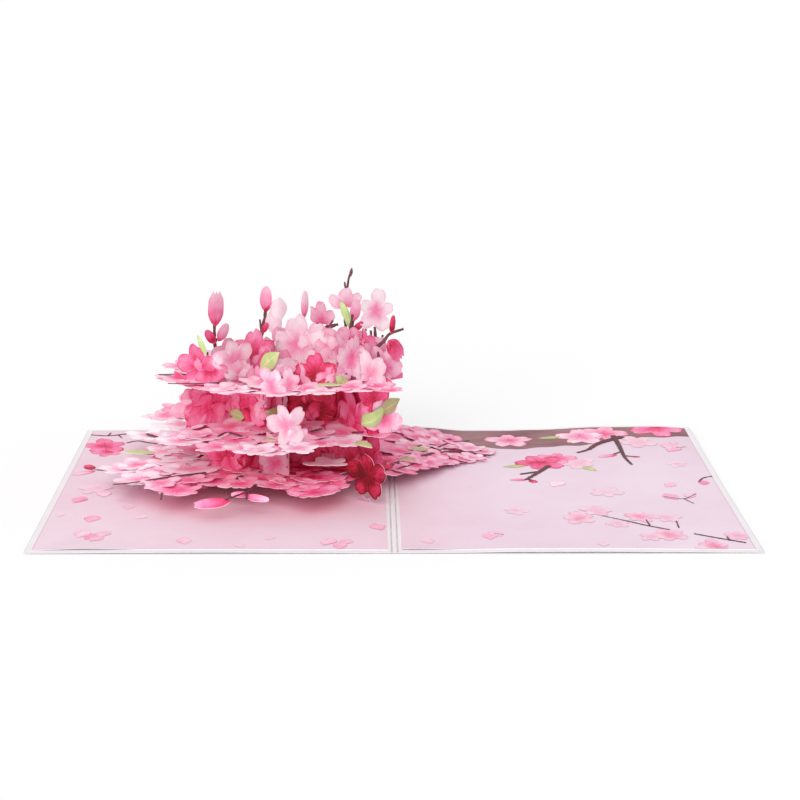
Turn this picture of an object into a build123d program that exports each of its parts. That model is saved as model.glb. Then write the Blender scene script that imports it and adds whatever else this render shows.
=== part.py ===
from build123d import *
import math
import os

# Blossom pop up card, lying open on its underside.  Millimetres, +Z up,
# origin on the table in the middle of the gutter, +Y towards the top edge.

# cover and liners
PANEL_W = 127.0          # one panel of the cover, across
CARD_D = 178.0           # cover, top edge to bottom edge
COVER_T = 0.45           # cover card
LINER_T = 0.20           # printed liner
MARGIN = 2.4             # white cover showing round the liners
GUTTER_HALF = 2.4        # half of the white strip between the liners
CREASE_X = 1.0           # the two scored lines lie this far from the middle
CREASE_W = 0.5
CREASE_D = 0.12

# pop-up card
SHEET_T = 0.25           # tiers, walls and sprays
PAGE_Z = COVER_T + LINER_T
LOWER_Z = 6.40           # undersides of the three tiers
MIDDLE_Z = 20.80
UPPER_Z = 41.80
LOWER_TOP = LOWER_Z + SHEET_T
MIDDLE_TOP = MIDDLE_Z + SHEET_T
UPPER_TOP = UPPER_Z + SHEET_T
STRAP_X = -1.0           # the lower tier folds down here, over the gutter
STRAP_END_X = 31.0       # and is glued to the right liner from here on
TAB_W = 4.2              # glue tabs
TAB_Z = 10.9              # the tab blossom leaves the lower wall here
TAB_TILT = 2.5           # and rises towards the front, degrees
GUTTER_SLOT = 24.0       # slit in the lower tier round the gutter blossom
TAB_IN = 2.6             # tabs stop short of the folds

# uprights and stands
UPRIGHT_X = (-62.0, -22.0)
UPRIGHT_Y = 33.5
UPRIGHT_W = (23.0, 20.0, 17.0)   # widths below, between and above the tiers
UPRIGHT_T = 0.30
SLOT_PLAY = 0.20
STANDS = {"left_stand": (-92.0, -70.0, -6.0), "right_stand": (-50.0, -32.0, 0.0)}

# plain inner areas of the tiers: centre and half axes
WEBS = {
    "upper_bough": (-40.0, 12.0, 36.0, 36.0),
    "middle_bough": (-46.0, 8.0, 35.0, 35.0),
    "lower_bough": (-54.0, 10.0, 41.0, 31.0),
}
STRAP = [(-14, -4), (1, -9), (10, 8), (31, 34), (39, 36), (39, 50), (31, 58), (14, 66), (0, 60), (-14, 46)]

# fold lines of the standing sheets in plan, left to right, and then
# the die-cut outlines in the plane of each sheet:
# B blossom and H half-open blossom: middle, radius, turn, tint
# P loose petal: middle, length, turn, tint
# U bud and L leaf: foot, length, turn, tint, half width
# T twig: points, width at the start, width at the end
FOLDS = {
    'lower_wall': [(-68, 3), (-58, -5), (-47, 3), (-38, 8), (-12, 8), (-6, -1)],
    'middle_wall': [(-75, 9), (-62, 20), (-49, 6), (-40, 20), (-22, 20), (-9, -6), (-2, 0)],
    'strut_blossom': [(-50, -5), (-38.8, -13)],
    'gutter_blossom': [(-12.6, -22.4), (-8.4, -26.2)],
    'standing_blossom': [(-47, -13), (-37.8, -22), (-28.5, -13)],
    'rim_blossom': [(-49, -20), (-41.5, -28), (-34, -20.5)],
    'crown_front': [(-82, -2), (-64, -12), (-52, 0), (-40, -11), (-22, -14), (-12, -4), (0, -14)],
    'crown_middle': [(-64, 8), (-46, 3), (-45, 11), (-22, 9), (-11, 13), (0, 4.5)],
    'crown_rear': [(-72, 16), (-58, 24), (-44, 16), (-31, 24), (-20, 15), (0, 23)],
    'crown_right': [(-9.5, 2), (-2.5, -5), (4, 1)],
}
PETALS = {
    'crown_front': [
        ('T', ((15.6, 48.9), (15.0, 54.1)), 0.9, 0.8, 0, 0),
        ('L', 15.2, 53.4, 8.1, 118, 0, 0.13),
        ('B', 16.0, 47.0, 7.0, 75, 2.9),
        ('B', 11.1, 47.6, 9.4, 95, 3.4),
        ('B', 26.9, 50.7, 8.8, 100, 1.4),
        ('B', 30.3, 43.7, 7.2, 40, 2.0),
        ('B', 39.4, 41.7, 6.4, 75, 2.2),
        ('B', 48.0, 44.9, 7.2, 100, 1.0),
        ('L', 42.7, 46.8, 12.2, 38, 0, 0.25),
        ('B', 57.6, 44.0, 6.8, 60, 1.7),
        ('B', 71.6, 44.8, 5.8, 30, 2.6),
        ('B', 65.2, 46.5, 8.4, 92, 4.5),
        ('T', ((52.3, 44.9), (56.1, 46.2), (59.1, 47.5)), 0.9, 0.7, 0, 0),
        ('B', 80.8, 51.2, 9.0, 85, 1.0),
        ('B', 75.5, 44.0, 6.0, 100, 1.8),
        ('T', ((80.3, 47.8), (80.8, 44.7), (82.4, 41.0)), 1.0, 0.8, 0, 0),
        ('T', ((75.5, 45.9), (79.2, 46.1)), 0.9, 0.7, 0, 0),
        ('L', 78.1, 39.7, 8.7, 131, 0.5, 0.28),
        ('B', 91.5, 45.3, 9.8, 110, 0.4),
        ('B', 97.3, 40.8, 6.2, 300, 1.3),
    ],
    'crown_middle': [
        ('B', 6.5, 45.1, 5.6, 40, 2.6),
        ('B', 16.9, 47.3, 6.4, 20, 2.6),
        ('B', 12.1, 50.9, 9.5, 90, 3.3),
        ('T', ((9.7, 47.3), (8.4, 44.5), (9.2, 41.8)), 1.6, 1.0, 0, 0),
        ('T', ((8.8, 44.9), (6.9, 45.6)), 0.9, 0.7, 0, 0),
        ('B', 30.5, 43.4, 7.8, 20, 2.6),
        ('B', 43.6, 46.0, 8.2, 50, 2.6),
        ('B', 43.7, 52.6, 8.6, 20, 1.3),
        ('B', 35.6, 52.9, 12.2, 92, 0.4),
        ('T', ((46.7, 55.8), (47.5, 59.3), (51.3, 61.3)), 1.3, 0.8, 0, 0),
        ('T', ((47.5, 59.3), (49.4, 62.8)), 0.9, 0.7, 0, 0),
        ('B', 50.2, 53.9, 7.6, 120, 2.4),
        ('B', 56.3, 53.9, 6.6, 70, 1.6),
        ('B', 51.4, 48.8, 8.2, 100, 2.0),
        ('T', ((55.0, 54.0), (55.9, 58.2), (57.1, 64.7)), 1.2, 0.9, 0, 0),
        ('B', 62.0, 51.6, 7.8, 100, 3.4),
        ('B', 68.8, 49.0, 7.8, 75, 2.3),
        ('T', ((66.8, 52.6), (65.9, 58.7)), 1.2, 0.9, 0, 0),
        ('T', ((61.5, 55.5), (62.0, 59.0)), 1.0, 0.8, 0, 0),
    ],
    'crown_rear': [
        ('T', ((43.9, 44.5), (43.8, 55.5)), 1.2, 1.1, 0, 0),
        ('T', ((54.3, 44.5), (55.4, 54)), 1.7, 1.5, 0, 0),
        ('T', ((53.8, 44.5), (52.9, 61)), 1.5, 1.1, 0, 0),
        ('T', ((64.4, 44.5), (64.8, 53)), 1.8, 1.5, 0, 0),
        ('T', ((64.2, 48), (64.0, 67)), 1.5, 1.1, 0, 0),
        ('T', ((76.3, 44.5), (76.0, 51)), 1.7, 1.4, 0, 0),
        ('T', ((24.3, 44.5), (24.9, 50.5)), 2.6, 2.2, 0, 0),
        ('T', ((5.8, 44.5), (5.4, 47)), 2.0, 1.6, 0, 0),
        ('T', ((70.5, 44.5), (71.6, 54.0)), 1.6, 1.2, 0, 0),
        ('T', ((78.4, 44.5), (77.8, 50.5)), 1.6, 1.2, 0, 0),
        ('T', ((5.4, 46.1), (4.2, 52.5), (4.3, 60.3)), 1.5, 1.1, 0, 0),
        ('U', 4.3, 58.7, 13.8, 87, 2.6, 0.225),
        ('T', ((4.2, 52.9), (5.9, 53.9)), 1.2, 1.0, 0, 0),
        ('U', 5.5, 52.8, 7.7, 59, 2, 0.26),
        ('T', ((4.2, 52.5), (2.9, 53.4)), 1.2, 1.0, 0, 0),
        ('U', 4.2, 52.1, 6.9, 127, 4.6, 0.25),
        ('B', 10.6, 46.8, 8.2, 100, 1.2),
        ('B', 28.1, 49.0, 6.4, 80, 1.4),
        ('T', ((24.9, 49.8), (25.9, 56.2), (27.3, 61.8), (27.9, 67.3)), 2.1, 1.0, 0, 0),
        ('T', ((25.9, 56.2), (25.1, 61.2)), 1.1, 0.7, 0, 0),
        ('U', 27.8, 64.6, 10.0, 84, 2.5, 0.25),
        ('U', 26.4, 56.2, 5.0, 57, 5, 0.24),
        ('U', 27.4, 64.2, 4.0, 47, 5.2, 0.17),
        ('P', 30.9, 59.8, 9.8, 104, 1.0),
        ('P', 32.8, 65.3, 10.2, 88, 1.0),
        ('P', 34.0, 54.7, 9.6, 112, 2.2),
        ('T', ((43.8, 54.9), (43.4, 62.8)), 1.0, 0.8, 0, 0),
        ('U', 43.4, 61.6, 10.5, 88, 2, 0.14),
        ('H', 53.9, 59.6, 9.2, 90, 2),
        ('T', ((48.9, 57.8), (51.4, 59.3), (53.9, 58.4)), 1.3, 1.0, 0, 0),
        ('T', ((55.4, 53.1), (55.9, 58.3), (61.5, 60.1)), 1.5, 0.8, 0, 0),
        ('T', ((55.9, 57.9), (59.0, 61.4)), 1.0, 0.7, 0, 0),
        ('H', 64.4, 66.6, 8.2, 95, 1.3),
        ('T', ((64.0, 70.9), (64.8, 77.0), (65.7, 80.1)), 1.0, 0.7, 0, 0),
        ('U', 65.4, 78.5, 3.6, 79, 6, 0.24),
        ('T', ((64.0, 72.0), (63.2, 76.7)), 0.9, 0.6, 0, 0),
        ('B', 76.0, 64.6, 8.4, 80, 0.5),
        ('L', 65.4, 58.3, 11.3, 107, 0, 0.11),
        ('T', ((64.8, 52.1), (66.0, 57.5), (66.9, 63.7)), 1.5, 1.1, 0, 0),
        ('U', 66.9, 61.3, 8.4, 83, 3, 0.24),
        ('U', 66.5, 57.5, 5.2, 38, 5, 0.26),
        ('T', ((76.0, 50.5), (75.6, 58.4)), 1.4, 1.0, 0, 0),
        ('T', ((71.4, 53.2), (71.8, 57.9)), 1.2, 0.8, 0, 0),
        ('T', ((77.7, 49.6), (78.9, 55.0)), 1.2, 0.8, 0, 0),
    ],
    'crown_right': [
        ('B', 9.1, 47.6, 8.2, 60, 2.1),
        ('T', ((5.5, 54.6), (9.0, 57.2), (11.6, 59.9), (18.9, 60.9)), 1.5, 0.9, 0, 0),
        ('U', 12.1, 59.9, 7.2, 82, 5, 0.2),
        ('U', 10.6, 57.8, 10.7, -49, 4.7, 0.3),
        ('T', ((8.2, 45.0), (5.5, 55.2)), 1.7, 1.5, 0, 0),
    ],
    'rim_blossom': [
        ('B', 6.8, 44.6, 7.4, 55, 1.1),
        ('B', 15.3, 45.0, 6.0, 95, 1.7),
    ],
    'standing_blossom': [
        ('B', 11.0, 28.5, 9.4, 108, 0.4),
        ('B', 16.1, 24.5, 4.8, 10, 0.8),
    ],
    'strut_blossom': [
        ('B', 7.2, 11.4, 8.6, 100, 1.6),
    ],
    'gutter_blossom': [
        ('B', 4.7, 10.6, 9.4, 92, 4.9),
    ],
    'middle_wall': [
        ('B', 3.2, 24.1, 10.5, 10, 3.6),
        ('B', 8.6, 29.2, 14.5, 70, 2.9),
        ('B', 0.0, 30.1, 8.0, 140, 2.6),
        ('P', -7.5, 28.8, 9.5, 172, 1.8),
        ('P', -4.1, 33.0, 8.5, 165, 0.9),
        ('P', -0.8, 35.3, 6.5, 255, 4.4),
        ('B', 32.2, 24.2, 8.6, 30, 4.4),
        ('B', 25.1, 28.5, 14.0, 52, 2.7),
        ('L', 26.2, 24.0, 9.0, 175, 0.0, 0.24),
        ('B', 49.8, 26.9, 10.0, 90, 4.8),
        ('B', 40.5, 30.7, 9.6, 60, 2.2),
        ('L', 47.0, 22.7, 11.9, 153, 0, 0.28),
        ('B', 56.9, 28.4, 11.0, 30, 4.8),
        ('B', 68.6, 28.0, 10.5, 60, 4.8),
        ('B', 62.7, 25.2, 13.0, 90, 5.0),
        ('B', 79.9, 29.4, 12.5, 40, 4.3),
        ('B', 89.4, 25.1, 13.0, 100, 3.6),
        ('B', 101.2, 34.5, 8.6, 10, 4.2),
        ('B', 107.2, 27.3, 8.4, 120, 1.8),
        ('L', 98.2, 25.2, 10.9, 39, 0, 0.24),
        ('L', 104.2, 30.1, 10.3, 21, 1, 0.27),
    ],
    'lower_wall': [
        ('B', 5.2, 10.3, 9.8, 80, 3.9),
        ('B', 14.6, 11.2, 10.8, 60, 4.2),
        ('B', 21.9, 9.0, 9.2, 10, 4.8),
        ('B', 30.3, 8.6, 10, 90, 4.8),
        ('B', 40.2, 8.2, 10.8, 100, 5),
        ('B', 47.9, 5.8, 9.4, 20, 4.6),
        ('B', 54.8, 9.0, 11.0, 60, 4.8),
        ('B', 59.6, 5.9, 9.6, 90, 4.4),
        ('B', 70.0, 10.9, 10.8, 70, 4.3),
    ],
    'upper_bough': [
        ('B', -26.1, 45.6, 11.6, 334, 2.6),
        ('B', -51.4, 44.9, 10.3, 41, 2.0),
        ('B', -66.5, 43.0, 11.2, 228, 2.0),
        ('B', -40.7, 42.9, 9.9, 247, 1.2),
        ('B', -18.8, 34.9, 11.6, 205, 1.2),
        ('B', -32.9, 34.1, 10.3, 313, 1.2),
        ('B', -59.8, 33.6, 9.6, 265, 2.0),
        ('B', -70.2, 32.4, 11.2, 270, 0.8),
        ('B', -39.1, 23.8, 11.0, 62, 2.6),
        ('B', -80.3, 20.8, 9.8, 307, 2.0),
        ('B', -52.1, 20.3, 9.9, 76, 2.6),
        ('B', -67.4, 20.0, 9.8, 186, 0.8),
        ('B', -31.6, 12.8, 11.1, 233, 0.8),
        ('B', -18.4, 12.1, 11.7, 203, 2.6),
        ('B', -59.1, 11.4, 10.1, 74, 0.8),
        ('B', -46.3, 10.5, 10.9, 353, 1.2),
        ('B', -73.4, 9.7, 10.0, 6, 1.2),
        ('B', -7.4, 9.4, 11.0, 97, 0.8),
        ('B', -51.7, 1.5, 10.3, 181, 2.6),
        ('B', -64.8, 0.6, 12.0, 145, 2.6),
        ('B', -25.6, -0.4, 11.8, 41, 2.6),
        ('B', -14.9, -0.4, 10.1, 220, 1.2),
        ('B', -40.9, -1.5, 9.6, 66, 2.0),
        ('B', -33.3, -9.2, 9.6, 174, 2.0),
        ('B', -47.5, -11.3, 11.4, 250, 1.2),
        ('T', ((-88.5, 0.8), (-78.3, 0.8), (-67.9, -2.8)), 0.9, 1.4, 0, 0),
        ('T', ((-83.4, -14.1), (-71.5, -14.2), (-60.6, -11.6)), 0.8, 1.2, 0, 0),
        ('P', -84.6, -1.0, 9.0, 175, 0.8),
        ('B', -80.8, -1.0, 9.0, 170, 0.8),
        ('B', -74.1, -9.8, 8.0, 30, 2.8),
        ('B', -69.4, -13.3, 9.2, 200, 1.5),
        ('B', -59.2, -21.9, 9.6, 250, 0.8),
        ('B', -64.1, -20.2, 8.0, 130, 1.2),
        ('B', -50.3, -22.7, 7.8, 215, 0.8),
        ('B', -55.0, -18.5, 8.4, 80, 1.3),
        ('B', -42.1, -26.9, 9.8, 265, 0.8),
        ('B', -36.3, -23.6, 7.6, 10, 1.1),
        ('B', -32.0, -21.9, 7.8, 290, 1.5),
        ('B', -26.0, -25.3, 6.4, 240, 0),
        ('B', -22.1, -20.2, 7.4, 120, 1.6),
        ('L', -18.8, -16.8, 10.7, 180, 0, 0.19),
        ('B', -16.2, -18.5, 8.2, 285, 1),
        ('B', -11.0, -20.2, 7.6, 60, 1.4),
        ('B', -5.8, -16.8, 8.2, 320, 2),
        ('B', -1.4, -23.6, 5.5, 320, 2),
    ],
    'middle_bough': [
        ('B', -46.3, 41.9, 10.2, 111, 1.5),
        ('B', -19.7, 40.0, 9.9, 135, 0.7),
        ('B', -65.1, 30.7, 9.7, 336, 1.2),
        ('B', -52.0, 30.3, 10.4, 117, 1.1),
        ('B', -39.6, 30.3, 11.2, 177, 2.0),
        ('B', -24.1, 30.3, 9.4, 83, 2.0),
        ('B', -76.0, 27.1, 9.4, 263, 1.0),
        ('B', -46.2, 18.2, 11.8, 22, 1.1),
        ('B', -7.4, 17.2, 11.4, 256, 2.0),
        ('B', -58.2, 16.9, 10.1, 5, 2.0),
        ('B', -38.0, 8.3, 11.6, 76, 2.0),
        ('B', -50.1, 5.4, 10.1, 138, 1.1),
        ('B', -18.8, -2.0, 10.4, 182, 1.1),
        ('B', -59.7, -4.8, 9.7, 73, 1.5),
        ('B', -31.6, -5.6, 11.7, 82, 1.1),
        ('B', -79.6, -15.2, 9.5, 226, 0.5),
        ('B', -76.0, 43.0, 8.6, 40, 1.2),
        ('B', -88.5, 25.7, 8.0, 175, 1),
        ('P', -93.6, 25.7, 9.0, 178, 0.8),
        ('B', -82.9, 37.8, 9.0, 150, 2),
        ('B', -75.5, -5.7, 9.4, 40, 1.6),
        ('B', -81.0, 10.6, 11.0, 190, 0.2),
        ('L', -73.0, 22.3, 10.8, -175, 0, 0.19),
        ('B', -70.4, -8.8, 10.0, 225, 1.2),
        ('B', -61.2, 7.2, 10.0, 90, 1.2),
        ('T', ((-65.3, -12.0), (-62.0, -5.7), (-56.3, -12.0)), 1.1, 0.8, 0, 0),
        ('B', -65.2, -24.3, 8.8, 160, 1.7),
        ('B', -58.4, -15.1, 9.6, 260, 2),
        ('B', -53.7, -25.9, 8.6, 30, 1.2),
        ('B', -50.2, -30.4, 8.6, 270, 0),
        ('B', -42.8, -13.6, 9.4, 240, 1.4),
        ('B', -43.6, -30.4, 8.2, 100, 0.8),
        ('B', -34.5, -27.4, 8.8, 300, 0),
        ('L', -43.3, -18.3, 6.9, 137, 0, 0.19),
        ('B', -26.2, -19.8, 7.6, 140, 1.9),
        ('B', -17.3, -16.8, 9.6, 280, 0),
        ('B', -24.4, 7.2, 10.0, 60, 2.2),
        ('T', ((-30.7, -4.2), (-26.6, 0.7)), 1.0, 0.7, 0, 0),
        ('B', -8.7, -2.6, 8.0, 330, 3),
        ('B', -3.7, 5.5, 6.6, 200, 2.4),
        ('L', -13.2, -18.3, 12.0, -63, 0, 0.19),
        ('T', ((-15.2, -5.8), (-7.6, -2.6), (-1.4, 10.4)), 1.1, 0.8, 0, 0),
    ],
    'lower_bough': [
        ('B', -60.6, 46.5, 11.2, 50, 0.5),
        ('B', -48.3, 46.1, 10.9, 114, 2.8),
        ('B', -72.3, 44.2, 11.3, 320, 1.0),
        ('B', -32.4, 44.0, 10.8, 330, 4.6),
        ('B', -41.7, 36.7, 11.8, 55, 4.2),
        ('B', -54.9, 35.8, 11.7, 0, 3.4),
        ('B', -66.3, 34.2, 11.5, 65, 0.5),
        ('B', -34.1, 25.2, 9.9, 211, 4.6),
        ('B', -57.6, 23.8, 9.8, 46, 2.2),
        ('B', -54.9, 14.0, 10.4, 25, 1.6),
        ('B', -15.0, 14.0, 11.1, 247, 4.6),
        ('B', -25.4, 13.2, 9.8, 152, 4.6),
        ('B', -38.3, 12.6, 11.0, 25, 4.6),
        ('B', -19.6, 3.4, 9.7, 148, 4.9),
        ('B', -32.7, 1.7, 10.4, 166, 4.2),
        ('B', -45.1, 1.6, 9.8, 154, 4.6),
        ('B', -8.6, 0.3, 10.4, 140, 4.6),
        ('T', ((-98.4, 51.6), (-85.4, 36.5)), 1.4, 1.6, 0, 0),
        ('B', -97.6, 51.6, 10.0, 150, 0.2),
        ('B', -102.6, -2.7, 8.6, 20, 0.8),
        ('B', -98.0, 4.9, 10.0, 180, 0.5),
        ('B', -95.1, -16.0, 9.8, 200, 1.2),
        ('B', -89.5, -4.2, 10.4, 40, 0.3),
        ('B', -83.0, 17.2, 10.6, 170, 0.4),
        ('B', -89.5, 25.2, 8.6, 70, 0.4),
        ('B', -85.0, 9.4, 9.2, 20, 0.5),
        ('L', -92.2, 20.4, 13.5, 173, 0, 0.19),
        ('B', -86.3, -23.3, 8.6, 320, 1.5),
        ('T', ((-103.2, -27.5), (-95.8, -24.7), (-84.9, -17.5), (-70.2, -10.2)), 0.8, 1.3, 0, 0),
        ('T', ((-104.9, 36.6), (-100.8, 39.9), (-95.7, 36.6), (-88.4, 34.9)), 0.8, 1.1, 0, 0),
        ('B', -87.0, 36.5, 9.0, 130, 1),
        ('B', -75.5, 26.8, 9.6, 160, 2.2),
        ('B', -71.2, 9.4, 10.0, 10, 0.9),
        ('B', -76.8, -2.8, 11.0, 200, 0.4),
        ('B', -75.5, -19.0, 9.0, 60, 1.8),
        ('B', -78.9, -31.8, 10.2, 230, 2.9),
        ('B', -65.8, -19.0, 9.4, 100, 2.2),
        ('B', -62.8, -7.3, 11.0, 240, 2.6),
        ('B', -56.0, -1.3, 9.2, 330, 2.0),
        ('B', -56.5, -24.8, 8.4, 200, 2.0),
        ('B', -43.5, -26.3, 8.6, 80, 1.7),
        ('B', -48.7, -17.6, 10.6, 265, 1.5),
        ('T', ((-50.5, -27.6), (-53.3, -37.4), (-60.3, -48.3)), 1.5, 1.0, 0, 0),
        ('U', -58.8, -48.3, 13.0, -174, 3.8, 0.13),
        ('U', -52.2, -37.4, 6.9, 180, 3.3, 0.15),
        ('U', -53.6, -41.6, 8.7, -9, 2.9, 0.14),
        ('T', ((-53.2, -38.8), (-52.9, -47.7)), 0.9, 0.7, 0, 0),
        ('B', -38.5, -20.5, 8.4, 10, 2.7),
        ('B', -23.2, -24.9, 8.8, 130, 2.6),
        ('B', -27.9, -14.8, 10.2, 280, 2.8),
        ('B', -34.2, -27.7, 8.6, 60, 2.6),
        ('B', -28.9, -34.7, 10.6, 260, 2.9),
        ('B', -36.3, -10.3, 8.0, 250, 4.4),
        ('B', -18.9, -14.8, 7.2, 40, 3.7),
        ('T', ((-84.1, -38.7), (-83.6, -48.2)), 0.9, 0.7, 0, 0),
        ('B', 0.7, 52.7, 10.0, 60, 2),
        ('B', 6.6, 65.7, 9.0, 20, 1.8),
        ('B', 2.8, 29.3, 9.6, 300, 2),
        ('B', -2.1, 10.8, 8.5, 270, 2.8),
        ('B', 12.2, 55.9, 9.4, 80, 1.8),
        ('B', 7.3, 18.1, 7.4, 290, 1.8),
        ('B', 14.6, 69.8, 8.0, 40, 1.6),
        ('B', 9.0, 41.9, 8.2, 200, 1.2),
        ('B', 20.2, 51.6, 9.2, 320, 1),
        ('B', 15.5, 30.2, 8.4, 150, 1.5),
        ('B', 16.1, 22.7, 7.0, 300, 1.9),
        ('B', 19.9, 66.7, 7.8, 100, 1.5),
        ('B', 25.5, 62.2, 7.6, 60, 1.3),
        ('B', 27.7, 47.0, 7.8, 330, 1),
        ('B', 22.1, 36.4, 7.0, 30, 1.4),
        ('B', 32.8, 52.6, 7.2, 20, 1.1),
        ('B', 32.9, 37.9, 6.4, 330, 0.9),
        ('B', 38.7, 47.6, 5.4, 100, 0.8),
        ('T', ((4.9, 14.9), (14.7, 31.3), (24.7, 43.2), (32.0, 44.4), (40.7, 41.1)), 1.0, 1.5, 0, 0),
        ('T', ((-1.4, 1.6), (4.9, 14.9), (14.7, 31.3), (22.4, 46.5)), 1.9, 1.1, 0, 0),
        ('T', ((11.0, 41.7), (19.6, 57.9), (29.8, 67.0)), 1.2, 0.8, 0, 0),
        ('T', ((1.2, -3.0), (4.8, 5.5), (11.2, 16.1)), 0.9, 1.2, 0, 0),
        ('T', ((18.3, 43.6), (25.3, 58.7), (33.1, 66.2)), 0.8, 1.1, 0, 0),
        ('T', ((2.7, 19.6), (7.5, 27.8), (13.0, 26.9)), 0.8, 0.9, 0, 0),
        ('L', 14.5, 37.6, 9.5, -144, 0.6, 0.24),
        ('L', 8.5, 19.0, 9.0, -128, 1, 0.22),
        ('B', 3.5, 0.5, 7.0, 40, 2.4),
        ('B', 9.0, 9.5, 7.2, 110, 2.0),
        ('B', 14.5, 17.5, 7.0, 70, 1.8),
        ('B', 21.0, 26.0, 6.6, 20, 1.6),
        ('B', 28.0, 34.0, 6.2, 130, 1.4),
    ],
    'tab_blossom': [
        ('B', -24.3, -11.2, 8.9, 255, -0.4),
    ],
}

# standing sheets: bottom, top of the plain band, top of the tabs above or None
BANDS = {
    "lower_wall": (LOWER_TOP, MIDDLE_Z, MIDDLE_Z),
    "middle_wall": (MIDDLE_TOP, UPPER_Z, UPPER_Z),
    "strut_blossom": (LOWER_TOP, MIDDLE_Z, MIDDLE_Z),
    "gutter_blossom": (PAGE_Z, 3.4, None),
    "standing_blossom": (MIDDLE_TOP, 24.6, None),
    "rim_blossom": (UPPER_TOP, 43.8, None),
    "crown_front": (UPPER_TOP, 45.6, None),
    "crown_middle": (UPPER_TOP, 47.0, None),
    "crown_rear": (UPPER_TOP, 47.0, None),
    "crown_right": (UPPER_TOP, 45.8, None),
}


def lobe(f, a, b, c):
    """Radius of an off-centre ellipse at angle f from its axis."""
    p = c * math.cos(f) / a ** 2
    d = (math.cos(f) / a) ** 2 + (math.sin(f) / b) ** 2
    return (p + math.sqrt(max(p * p - d * (c * c / a ** 2 - 1), 0))) / d


def blossom(u, v, r, rot, tint):
    slim = 0.345 if tint < 1.0 else 0.385
    pts = []
    for i in range(40):
        k = (i + 4) // 8
        f = math.radians(9.0 * i - 72.0 * k)
        grow = 1 + 0.12 * math.sin(2.3 * k + u + 0.7 * v)
        q = r * grow * lobe(f, 0.50, slim, 0.50) * (1 - 0.09 * math.exp(-(f / 0.09) ** 2))
        w = math.radians(rot + 9.0 * i)
        pts.append((u + q * math.cos(w), v + q * math.sin(w)))
    return pts


def half_blossom(u, v, r, rot):
    pts = [(u - 0.06 * r * math.cos(math.radians(rot)), v - 0.06 * r * math.sin(math.radians(rot)))]
    for i in range(37):
        f = -90 + 5.0 * i
        q = 0
        for p, g in ((-52, 0.92), (0, 1.0), (50, 0.95)):
            h = math.radians(f - p)
            if abs(h) < 1.55:
                q = max(q, g * (2 * math.cos(h) / 0.5) / ((math.cos(h) / 0.5) ** 2 + (math.sin(h) / 0.30) ** 2))
        q = max(q, 0.12) * r
        pts.append((u + q * math.cos(math.radians(rot + f)), v + q * math.sin(math.radians(rot + f))))
    return pts


def spindle(u, v, length, rot, half, power, n=9):
    """Bud or leaf: base at u, v, pointing along rot."""
    c, s = math.cos(math.radians(rot)), math.sin(math.radians(rot))
    side = [(i / n, half * math.sin(math.pi * (i / n) ** power)) for i in range(1, n)]
    prof = [(0, -0.02), (0, 0.02)] + side + [(1, 0.015), (1, -0.015)] + [(t, -w) for t, w in reversed(side)]
    return [(u + length * (t * c - w * s), v + length * (t * s + w * c)) for t, w in prof]


def oval_bud(u, v, length, rot, half, n=10):
    """Bud with a round top: base at u, v, pointing along rot."""
    c, s = math.cos(math.radians(rot)), math.sin(math.radians(rot))
    open_top = length > 11 or half >= 0.3
    marks = [i / n for i in range(1, n)] + [0.96, 1.0]
    side = [(t, max(half * bud_width(t, open_top), 0.04)) for t in marks]
    prof = [(0, -0.03), (0, 0.03)] + side + [(t, -w) for t, w in reversed(side)]
    return [(u + length * (t * c - w * s), v + length * (t * s + w * c)) for t, w in prof]


def bud_width(t, open_top):
    if t < 0.42:
        return math.sin(math.pi / 2 * t / 0.42) ** 0.8
    if open_top:
        return math.sqrt(1 - ((t - 0.42) / 0.68) ** 3)
    return math.sqrt(max(1 - ((t - 0.42) / 0.58) ** 2.2, 0.0))


def twig(pts, w0, w1):
    left, right = [], []
    for i, p in enumerate(pts):
        a, b = pts[max(i - 1, 0)], pts[min(i + 1, len(pts) - 1)]
        d = math.dist(a, b)
        nx, ny = -(b[1] - a[1]) / d, (b[0] - a[0]) / d
        w = 0.5 * (w0 + (w1 - w0) * i / (len(pts) - 1))
        left.append((p[0] + nx * w, p[1] + ny * w))
        right.append((p[0] - nx * w, p[1] - ny * w))
    return left + right[::-1]


def outline(e):
    kind = e[0]
    if kind == "B":
        return blossom(e[1], e[2], e[3], e[4], e[5])
    if kind == "H":
        return half_blossom(e[1], e[2], e[3], e[4])
    if kind == "U":
        return oval_bud(e[1], e[2], e[3], e[4], e[6])
    if kind == "L":
        return spindle(e[1], e[2], e[3], e[4], e[6], 0.8)
    if kind == "P":
        a = math.radians(e[4])
        return spindle(e[1] - 0.5 * e[3] * math.cos(a), e[2] - 0.5 * e[3] * math.sin(a), e[3], e[4], 0.30, 1.25)
    return twig(e[1], e[2], e[3])


def face(pts):
    f = Face(Wire.make_polygon([Vector(x, y, 0) for x, y in pts], close=True))
    return f if f.normal_at().Z > 0 else -f


def united(faces):
    return Sketch() + faces


def ellipse(cx, cy, ax, ay, n=48):
    return [(cx + ax * math.cos(2 * math.pi * i / n), cy + ay * math.sin(2 * math.pi * i / n)) for i in range(n)]


def rect(x0, x1, y0, y1):
    return face([(x0, y0), (x1, y0), (x1, y1), (x0, y1)])


def box(x0, x1, y0, y1, z0, z1):
    return Pos((x0 + x1) / 2, (y0 + y1) / 2, (z0 + z1) / 2) * Box(x1 - x0, y1 - y0, z1 - z0)


def one(shape, name):
    solids = shape.solids()
    if len(solids) != 1:
        print(name, "came out in", len(solids), "solids:", [(round(s.volume, 2), [round(q, 1) for q in s.center()]) for s in solids])
    return max(solids, key=lambda s: s.volume)


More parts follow.
